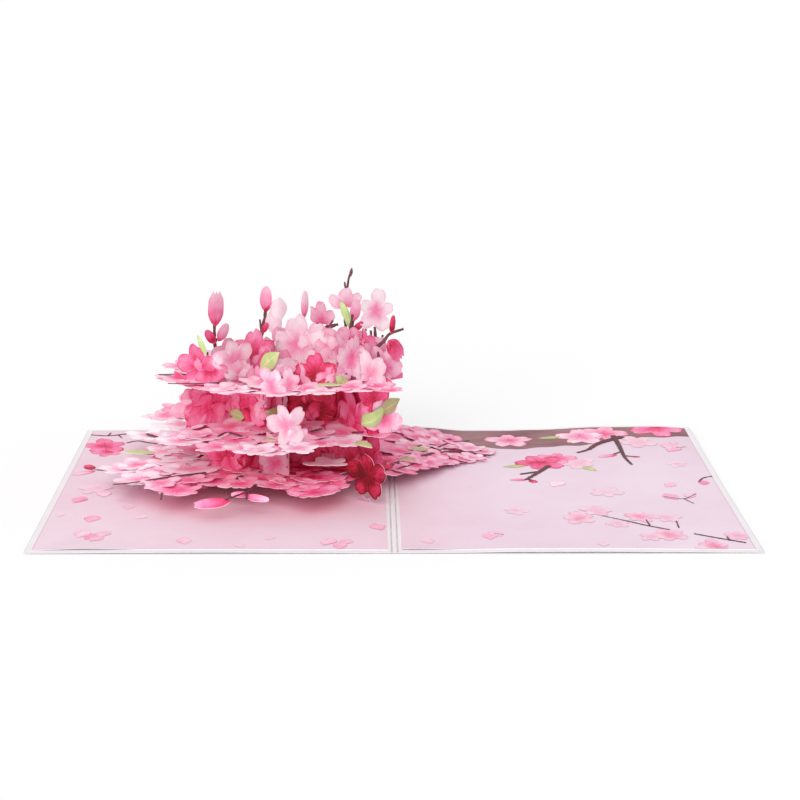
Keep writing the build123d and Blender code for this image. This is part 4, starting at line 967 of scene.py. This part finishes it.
def leaf_print():
    n = Nodes("leaf_print")
    side = n.m("ABSOLUTE", n.attr("lat"))
    blot = n.noise(320.0, 4.0, 0.6)
    vein = n.noise(3.0, 2.0, 0.5, vec=n.vec(n.m("ADD", n.m("MULTIPLY", n.attr("rad"), 9.0), n.m("MULTIPLY", side, -4.0)), n.m("MULTIPLY", n.attr("seed"), 19.0), 0.0))
    v = n.sum(n.m("MULTIPLY", blot, 0.55), n.m("MULTIPLY", vein, 0.35), n.m("MULTIPLY", n.step(side, 0.0, 0.12, 1.0, 0.0), -0.22), n.m("MULTIPLY", n.step(side, 0.82, 1.0), 0.14))
    fresh = n.ramp(v, [(0.15, (222, 230, 178)), (0.45, (190, 209, 140)), (0.75, (158, 182, 106)), (1.0, (128, 146, 84))])
    dull = n.ramp(v, [(0.15, (214, 206, 160)), (0.45, (180, 168, 122)), (0.75, (142, 126, 92)), (1.0, (112, 92, 72))])
    return n.paper(n.mix(n.m("MULTIPLY", n.attr("tone"), 1.0, clamp=True), fresh, dull))


def twig_print():
    n = Nodes("twig_print")
    grain = n.noise(2.2, 4.0, 0.65, vec=n.vec(n.m("MULTIPLY", n.attr("rad"), 7.0), n.m("MULTIPLY", n.attr("lat"), 1.6), n.m("MULTIPLY", n.attr("seed"), 23.0)))
    blot = n.noise(420.0, 3.0, 0.6)
    v = n.sum(n.m("MULTIPLY", grain, 0.6), n.m("MULTIPLY", blot, 0.4))
    return n.paper(n.ramp(v, [(0.25, (62, 28, 36)), (0.45, (96, 52, 60)), (0.62, (122, 76, 82)), (0.85, (156, 112, 116))]))


def cut_edge():
    n = Nodes("cut_edge")
    v = n.noise(1500.0, 3.0, 0.6)
    return n.paper(n.ramp(v, [(0.3, (242, 190, 206)), (0.55, (248, 214, 225)), (0.8, (253, 234, 240))]), rough=0.75)


def page_print():
    n = Nodes("page_print")
    big = n.noise(9.0, 4.0, 0.55, distort=0.8)
    mid = n.noise(46.0, 5.0, 0.62, distort=0.5)
    fine = n.noise(900.0, 3.0, 0.6)
    v = n.sum(n.m("MULTIPLY", big, 0.55), n.m("MULTIPLY", mid, 0.35), n.m("MULTIPLY", fine, 0.10))
    base = n.ramp(v, [(0.28, (241, 218, 229)), (0.46, (237, 211, 223)), (0.60, (234, 203, 216)), (0.78, (229, 193, 207))])
    xyz = n.new("ShaderNodeSeparateXYZ")
    n.to(xyz.inputs[0], n.co)
    cool = n.ramp(v, [(0.28, (240, 223, 236)), (0.46, (237, 216, 231)), (0.60, (235, 210, 226)), (0.78, (231, 202, 218))])
    base = n.mix(n.step(xyz.outputs[0], 0.0, 0.04, 0.0, 0.8), base, cool)
    far = n.m("MULTIPLY", n.step(xyz.outputs[0], 0.0, 0.03), n.step(xyz.outputs[1], 0.0, 0.07))
    base = n.mix(n.m("MULTIPLY", far, 0.55), base, n.ramp(v, [(0.28, (228, 204, 217)), (0.78, (219, 188, 203))]))
    # painted shadow: a thin darker line along the liner's outer edges
    painted_edge_shade = n.m("MAXIMUM", n.step(n.m("ABSOLUTE", xyz.outputs[0]), 0.12405, 0.12445), n.step(n.m("ABSOLUTE", xyz.outputs[1]), 0.08575, 0.08630))
    base = n.mix(n.m("MULTIPLY", painted_edge_shade, 0.6), base, n.ramp(v, [(0.3, (196, 160, 168)), (0.7, (214, 182, 188))]))
    # painted rosy shadow: a pink wash on the left page under and in front of the tiers, standing in for their shadow
    # and the pink light bounced into it
    dx = n.m("MULTIPLY", n.m("ADD", xyz.outputs[0], 0.052), 17.0)
    dy = n.m("MULTIPLY", n.m("ADD", xyz.outputs[1], 0.026), 27.0)
    far = n.m("SQRT", n.m("ADD", n.m("MULTIPLY", dx, dx), n.m("MULTIPLY", dy, dy)))
    painted_rosy_shadow = n.m("MULTIPLY", n.step(n.m("ADD", far, n.m("MULTIPLY", n.m("SUBTRACT", mid, 0.5), 0.9)), 0.45, 1.15, 1.0, 0.0), 0.40)
    return n.paper(n.mix(painted_rosy_shadow, base, n.ramp(v, [(0.3, (243, 196, 208)), (0.6, (238, 176, 192)), (0.8, (230, 158, 178))])), rough=0.6, level=0.3)


def white_card():
    n = Nodes("white_card")
    big = n.noise(30.0, 4.0, 0.6)
    fine = n.noise(1400.0, 4.0, 0.65)
    v = n.sum(n.m("MULTIPLY", big, 0.5), n.m("MULTIPLY", fine, 0.5))
    card = n.ramp(v, [(0.3, (232, 226, 229)), (0.5, (237, 232, 235)), (0.7, (241, 237, 239))])
    xyz = n.new("ShaderNodeSeparateXYZ")
    n.to(xyz.inputs[0], n.co)
    # painted shade in the two score creases on either side of the gutter
    off = n.m("ABSOLUTE", n.m("SUBTRACT", n.m("ABSOLUTE", xyz.outputs[0]), CREASE_X * MM))
    painted_crease_shade = n.m("MULTIPLY", n.step(off, 0.00012, 0.00042, 1.0, 0.0), n.step(n.noise(60.0, 4.0, 0.6), 0.30, 0.62, 0.25, 0.85))
    card = n.mix(painted_crease_shade, card, n.ramp(v, [(0.3, (168, 150, 158)), (0.7, (196, 182, 188))]))
    # painted shade: a thin grey line along the cover's outer edges
    painted_edge_shade = n.m("MAXIMUM", n.step(n.m("ABSOLUTE", xyz.outputs[0]), 0.12660, 0.12695), n.step(n.m("ABSOLUTE", xyz.outputs[1]), 0.08840, 0.08895))
    return n.paper(n.mix(n.m("MULTIPLY", painted_edge_shade, 0.6), card, n.ramp(v, [(0.3, (188, 176, 182)), (0.7, (210, 200, 205))])), rough=0.66)


def bough_print():
    n = Nodes("bough_print")
    stretch = n.new("ShaderNodeMapping")
    stretch.inputs["Scale"].default_value = (0.35, 1.0, 1.0)
    n.to(stretch.inputs["Vector"], n.co)
    bark = n.noise(190.0, 5.0, 0.65, vec=stretch.outputs[0], distort=0.5)
    blot = n.noise(45.0, 3.0, 0.55)
    v = n.sum(n.m("MULTIPLY", bark, 0.55), n.m("MULTIPLY", blot, 0.45))
    return n.paper(n.ramp(v, [(0.28, (122, 76, 84)), (0.45, (146, 102, 108)), (0.60, (162, 120, 125)), (0.78, (184, 146, 150))]))


MATERIALS = {
    PETAL: petal_print(), WASH: wash_print(), LEAF: leaf_print(), TWIG: twig_print(),
    EDGE: cut_edge(), PAGE: page_print(), WHITE: white_card(), BOUGH: bough_print(),
}


# ------------------------------------------------------------------ tiers
def web_disc(sh, cx, cy, ax, ay, tone, n0):
    seed = rng.random()
    rings = []
    for p in (0.12, 0.26, 0.4, 0.55, 0.7, 0.82, 0.92, 1.0):
        rings.append([(cx + ax * p * math.cos(2 * math.pi * i / 72), cy + ay * p * math.sin(2 * math.pi * i / 72), n0, tone, p, 0.0, seed) for i in range(72)])
    sh.polar((cx, cy, n0, tone, 0, 0, seed), rings, SHEET_T, WASH, EDGE)


def strap_web(sh, tone):
    """The plain inner area of the strap, in strips along it."""
    left = [(-14, -4), (1, -9), (10, 8), (31, 34), (39, 36)]
    right = [(-14, 46), (0, 60), (14, 66), (31, 58), (39, 50)]
    us = [-14, -10, -6, -3, -1.0, -0.4, 0.4, 2, 5, 8, 10, 13, 17, 21, 25, 29, 31, 31.5, 32, 33, 35, 37, 39]
    rows = []
    for u in us:
        f = lambda t: next(a[1] + (b[1] - a[1]) * (u - a[0]) / (b[0] - a[0]) for a, b in zip(t, t[1:]) if u <= b[0] + 1e-9)
        y0, y1 = f(left), f(right)
        rows.append([(u, y0 + (y1 - y0) * j / 10, SHEET_T, tone, 0.5, 0.0, 0.4) for j in range(11)])
    sh.grid(rows, SHEET_T, WASH, EDGE)


for node, z, tone, slot in (("upper_bough", UPPER_Z, 2.0, "blossom_print"), ("middle_bough", MIDDLE_Z, 3.4, "blossom_print"), ("lower_bough", LOWER_Z, 3.8, "blossom_print")):
    sh = Sheet(strap if node == "lower_bough" else level(z))
    # painted light on the middle and lower tiers, which the tier above shades
    sh.painted_shading = {"upper_bough": 0.0, "middle_bough": -0.10, "lower_bough": -0.07}[node]
    web_disc(sh, *WEBS[node], tone, SHEET_T)
    if node == "lower_bough":
        strap_web(sh, 2.2)
    for i, e in enumerate(PETALS[node]):
        n0 = SHEET_T + 0.25 + 0.55 * rng.random()
        if e[0] in "TL":
            n0 = SHEET_T + 1.2 + 0.3 * rng.random()
        if e[0] == "T" and e[1][0][0] > -8:
            n0 = SHEET_T + 0.75
        sh.rim = PETAL if e[0] == "B" and (e[1] > -4 or e[5] > 3.5 or rng.random() < 0.45) else EDGE
        lean = (rng.uniform(-0.03, 0.03), rng.uniform(-0.03, 0.03))
        if node == "lower_bough" and e[0] == "U":
            lean = (0.0, 0.70)
        if node == "lower_bough":
            # on the lower tier the strap's blossoms over the right page get a deeper tone and a little painted shade;
            # the rest gets painted light
            over = e[0] != "T" and e[1] > -2
            sh.painted_shading = 0.06 if over else -0.07
            e = e[:5] + (e[5] + 0.35,) if over and e[0] == "B" else e
        sh.element(e, n0, rng.uniform(0.01, 0.07), lean)
    sh.finish(node + "_sheet", node)

# the blossom on its tab, rising towards the front
WALL_FRONT = FOLDS["lower_wall"][3][1] - SHEET_T / 2


def tab_place(u, v, n):
    if v > WALL_FRONT - SHEET_T:
        return u * MM, v * MM, (TAB_Z + n) * MM
    d = WALL_FRONT - SHEET_T - v
    return u * MM, (WALL_FRONT - SHEET_T - d * math.cos(TAB_TILT) + n * math.sin(TAB_TILT)) * MM, (TAB_Z + d * math.sin(TAB_TILT) + n * math.cos(TAB_TILT)) * MM


sh = Sheet(tab_place)
# painted light: the tab blossom is lightened to look lit, although the middle tier shades it
sh.painted_shading = -0.42
e = PETALS["tab_blossom"][0]
sh.grid([[(e[1] - 2.5 + 5.0 * i / 4, e[2] + (WALL_FRONT - SHEET_T - e[2]) * j / 8, SHEET_T, 1.4, 0.5, 0, 0.3) for j in range(9)] for i in range(5)], SHEET_T, WASH, EDGE)
sh.grid([[(e[1] - 2.5 + 5.0 * i / 4, WALL_FRONT - 0.23 + 0.22 * j, 4.5, 1.4, 0.5, 0, 0.3) for j in range(2)] for i in range(5)], 4.4, WASH, EDGE)
sh.element(e, SHEET_T + 0.1, 0.02, (0.02, 0.0))
sh.finish("tab_blossom_sheet", "tab_blossom")

# ------------------------------------------------------------------ standing sheets
# painted shade on the crowns, rims, lower wall, strut and gutter flower, and painted light on the middle wall, so
# each keeps its brightness under the strong front light
PAINTED_SHADING = {"lower_wall": 0.05, "middle_wall": -0.04, "crown_front": 0.19, "crown_middle": 0.20, "crown_rear": 0.19, "crown_right": 0.18, "rim_blossom": 0.08, "standing_blossom": 0.10, "gutter_blossom": 0.27, "strut_blossom": 0.26}
for node in BANDS:
    base, band, above = BANDS[node]
    put, runs = zigzag(node)
    sh = Sheet(put)
    sh.painted_shading = PAINTED_SHADING.get(node, 0.0)
    marks = []
    for a, b in zip(runs, runs[1:]):
        k = max(3, int((b - a) / 2.0))
        marks += [a + (b - a) * i / k for i in range(k)]
        marks += [b - 0.4] if b < runs[-1] else []
        marks += [a + 0.4] if a > 0 else []
    marks = sorted(set(marks + [runs[-1]]))
    tone = BAND_TONE[node]
    # painted shade: the gutter flower's band is darkened to the shade of the page around its foot
    if node == "gutter_blossom":
        sh.painted_shading = 0.48
    rows = []
    for s in marks:
        top = band if above else band - 0.9 + 0.9 * math.sin(0.9 * s + 1.0)
        rows.append([(s, base + (top - base) * j / 6, SHEET_T / 2, tone, 0.5, 0.0, 0.5) for j in range(7)])
    sh.grid(rows, SHEET_T, WASH, EDGE)
    for i, (a, b) in enumerate(zip(runs, runs[1:])):
        lo, hi = a + TAB_IN, b - TAB_IN
        zs = [(base, base + SHEET_T)] + ([(above - SHEET_T, above)] if above and i % 2 == 0 else [])
        for z0, z1 in zs:
            if hi - lo < 0.5:
                continue
            sh.grid([[(lo + (hi - lo) * p / 4, z0 + 0.01 + (z1 - z0 - 0.02) * q, -0.05, tone, 0.5, 0, 0.5) for q in (0, 1)] for p in range(5)], TAB_W - 0.05, WASH, EDGE)
    sh.painted_shading = PAINTED_SHADING.get(node, 0.0)
    for i, e in enumerate(PETALS[node]):
        n0 = SHEET_T / 2 + 0.14 + 0.04 * i + {"L": 1.1, "U": 0.5}.get(e[0], 0.0)
        if node == "gutter_blossom":
            e = e[:5] + (e[5] + 0.7,)
        sh.rim = PETAL if node.endswith("_wall") and e[5] > 2.5 else EDGE
        sh.element(e, n0, 0.05, (0, 0))
    sh.finish(node + "_sheet", node)

# ------------------------------------------------------------------ cover
def cover_place(u, v, n):
    return u * MM, v * MM, (lift(u, v) + max(n, 0.001)) * MM


sh = Sheet(cover_place)
xs = [-127 + 254 * i / 96 for i in range(97)]
xs = sorted(set([x for x in xs if abs(x) > 2.6] + [-2.4, -1.9, -1.45, -1.25, -1.0, -0.75, -0.4, 0, 0.4, 0.75, 1.0, 1.25, 1.45, 1.9, 2.4]))
rows = []
for x in xs:
    dip = 0.16 if abs(abs(x) - CREASE_X) < 0.3 else 0.0
    rows.append([(x, -89 + 178 * j / 60, COVER_T - dip, 0, 0.5, 0, 0.2) for j in range(61)])
sh.grid(rows, COVER_T - 0.001, WHITE, WHITE)
sh.finish("cover_card", "cover")

# ------------------------------------------------------------------ printed liners
BOUGH_EDGE = [(2.4, 77.0), (14, 71.0), (20.7, 66.5), (32.7, 58.7), (48.9, 55.3), (60, 56.5), (73.7, 58.4), (86.3, 61.8), (95.1, 66.4), (108.0, 70.7), (124.6, 72.6)]


def page_place(side):
    def put(u, v, n):
        bump = 0.0
        if side < 0:
            bump = 0.5 * math.exp(-((u + 106) / 12) ** 2) * ease((-v - 74) / 12.6)
        else:
            bump = 0.4 * math.exp(-((u - 8) / 9) ** 2) * ease((-v - 76) / 10.6)
        u = min(max(u, x_lo), x_hi) + 0.002 * (u - min(max(u, x_lo), x_hi))
        v = min(max(v, -y_hi), y_hi) + 0.002 * (v - min(max(v, -y_hi), y_hi))
        return u * MM, v * MM, (COVER_T + lift(u, v) + bump + n) * MM
    x_lo, x_hi = sorted((side * GUTTER_HALF, side * (PANEL_W - MARGIN)))
    y_hi = CARD_D / 2 - MARGIN
    return put


for side, node, table in ((-1, "left_page", LEFT_PRINT), (1, "right_page", RIGHT_PRINT)):
    sh = Sheet(page_place(side))
    x0, x1 = sorted((side * GUTTER_HALF, side * (PANEL_W - MARGIN)))
    y1 = CARD_D / 2 - MARGIN
    sh.grid([[(x0 + (x1 - x0) * i / 50, -y1 + 2 * y1 * j / 64, LINER_T, 0, 0.5, 0, 0.2) for j in range(65)] for i in range(51)], LINER_T, PAGE, WHITE)
    if side > 0:
        rows = []
        for i in range(61):
            x = 2.6 + (124.6 - 2.6) * i / 60
            lo = along(BOUGH_EDGE, x) + 0.9 * math.sin(0.21 * x) + 0.5 * math.sin(0.53 * x + 1)
            lo = min(lo, y1 - 2)
            rows.append([(x, lo + (y1 - lo) * j / 12, LINER_T + 0.06, 0, x / 124, j / 12, 0.3) for j in range(13)])
        sh.grid(rows, 0.05, BOUGH, BOUGH)
    for i, e in enumerate(table):
        sh.ink = 1.0
        if e[0] in "BP" and e[3] < 9.0:
            sh.ink += 0.78 * ease((2.4 - e[5]) / 2.0)
        sh.element(e, LINER_T + 0.11 + 0.005 * (i % 12) + (0.07 if e[0] == "T" else 0.0), flat=True)
    sh.finish(node + "_print", node)

# ------------------------------------------------------------------ hidden uprights and stands keep their made shape
def plain_pink():
    n = Nodes("plain_pink_card")
    blot = n.noise(90.0, 4.0, 0.6)
    fine = n.noise(900.0, 3.0, 0.6)
    v = n.sum(n.m("MULTIPLY", blot, 0.6), n.m("MULTIPLY", fine, 0.4))
    return n.paper(n.ramp(v, [(0.3, (236, 132, 166)), (0.5, (228, 104, 146)), (0.7, (214, 78, 124))]))


pink = plain_pink()
for node in ("left_upright", "right_upright", "left_stand", "right_stand"):
    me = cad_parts[node].data
    me.materials.clear()
    me.materials.append(pink)

# ------------------------------------------------------------------ floor, light and camera
floor_mesh = bpy.data.meshes.new("floor")
floor_mesh.from_pydata([(-8, -4, -0.0002), (8, -4, -0.0002), (8, 12, -0.0002), (-8, 12, -0.0002)], [], [(0, 1, 2, 3)])
floor = bpy.data.objects.new("floor", floor_mesh)
bpy.context.scene.collection.objects.link(floor)
fm = bpy.data.materials.new("floor")
fm.use_nodes = True
fb = fm.node_tree.nodes["Principled BSDF"]
fb.inputs["Base Color"].default_value = (0.95, 0.95, 0.95, 1)
fb.inputs["Roughness"].default_value = 0.9
fb.inputs["Specular IOR Level"].default_value = 0.0
floor_mesh.materials.append(fm)

world = bpy.data.worlds.new("studio")
bpy.context.scene.world = world
world.use_nodes = True
world.node_tree.nodes["Background"].inputs["Color"].default_value = (1, 1, 1, 1)
world.node_tree.nodes["Background"].inputs["Strength"].default_value = 0.58


def sun(name, toward, energy, angle):
    data = bpy.data.lights.new(name, "SUN")
    data.energy = energy
    data.angle = math.radians(angle)
    ob = bpy.data.objects.new(name, data)
    bpy.context.scene.collection.objects.link(ob)
    ob.rotation_mode = "QUATERNION"
    ob.rotation_quaternion = Vector(toward).to_track_quat("-Z", "Y")
    return ob


sun("key", (0.12, -0.62, -1.0), 0.50, 40)
sun("top_fill", (0.2, 0.8, -1.0), 0.85, 60)
sun("front_fill", (0.2, 0.97, -0.20), 1.9, 50)

E, YAW, ROLL = math.radians(12.78), math.radians(0.95), math.radians(0.20)
fwd = Vector((math.sin(YAW) * math.cos(E), math.cos(YAW) * math.cos(E), -math.sin(E)))
right = Vector((math.cos(YAW), -math.sin(YAW), 0))
up = right.cross(fwd)
R = right * math.cos(ROLL) + up * math.sin(ROLL)
U = -right * math.sin(ROLL) + up * math.cos(ROLL)
cam_data = bpy.data.cameras.new("camera")
cam_data.sensor_fit = "HORIZONTAL"
cam_data.sensor_width = 36.0
cam_data.lens = 36.0 * 2174.4 / 800
cam_data.clip_start, cam_data.clip_end = 0.05, 60
cam = bpy.data.objects.new("camera", cam_data)
bpy.context.scene.collection.objects.link(cam)
cam.matrix_world = Matrix(((R.x, U.x, -fwd.x, -0.0103), (R.y, U.y, -fwd.y, -0.8041), (R.z, U.z, -fwd.z, 0.2161), (0, 0, 0, 1)))
bpy.context.scene.camera = cam
bpy.context.scene.view_settings.view_transform = "Standard"
bpy.context.scene.view_settings.look = "None"
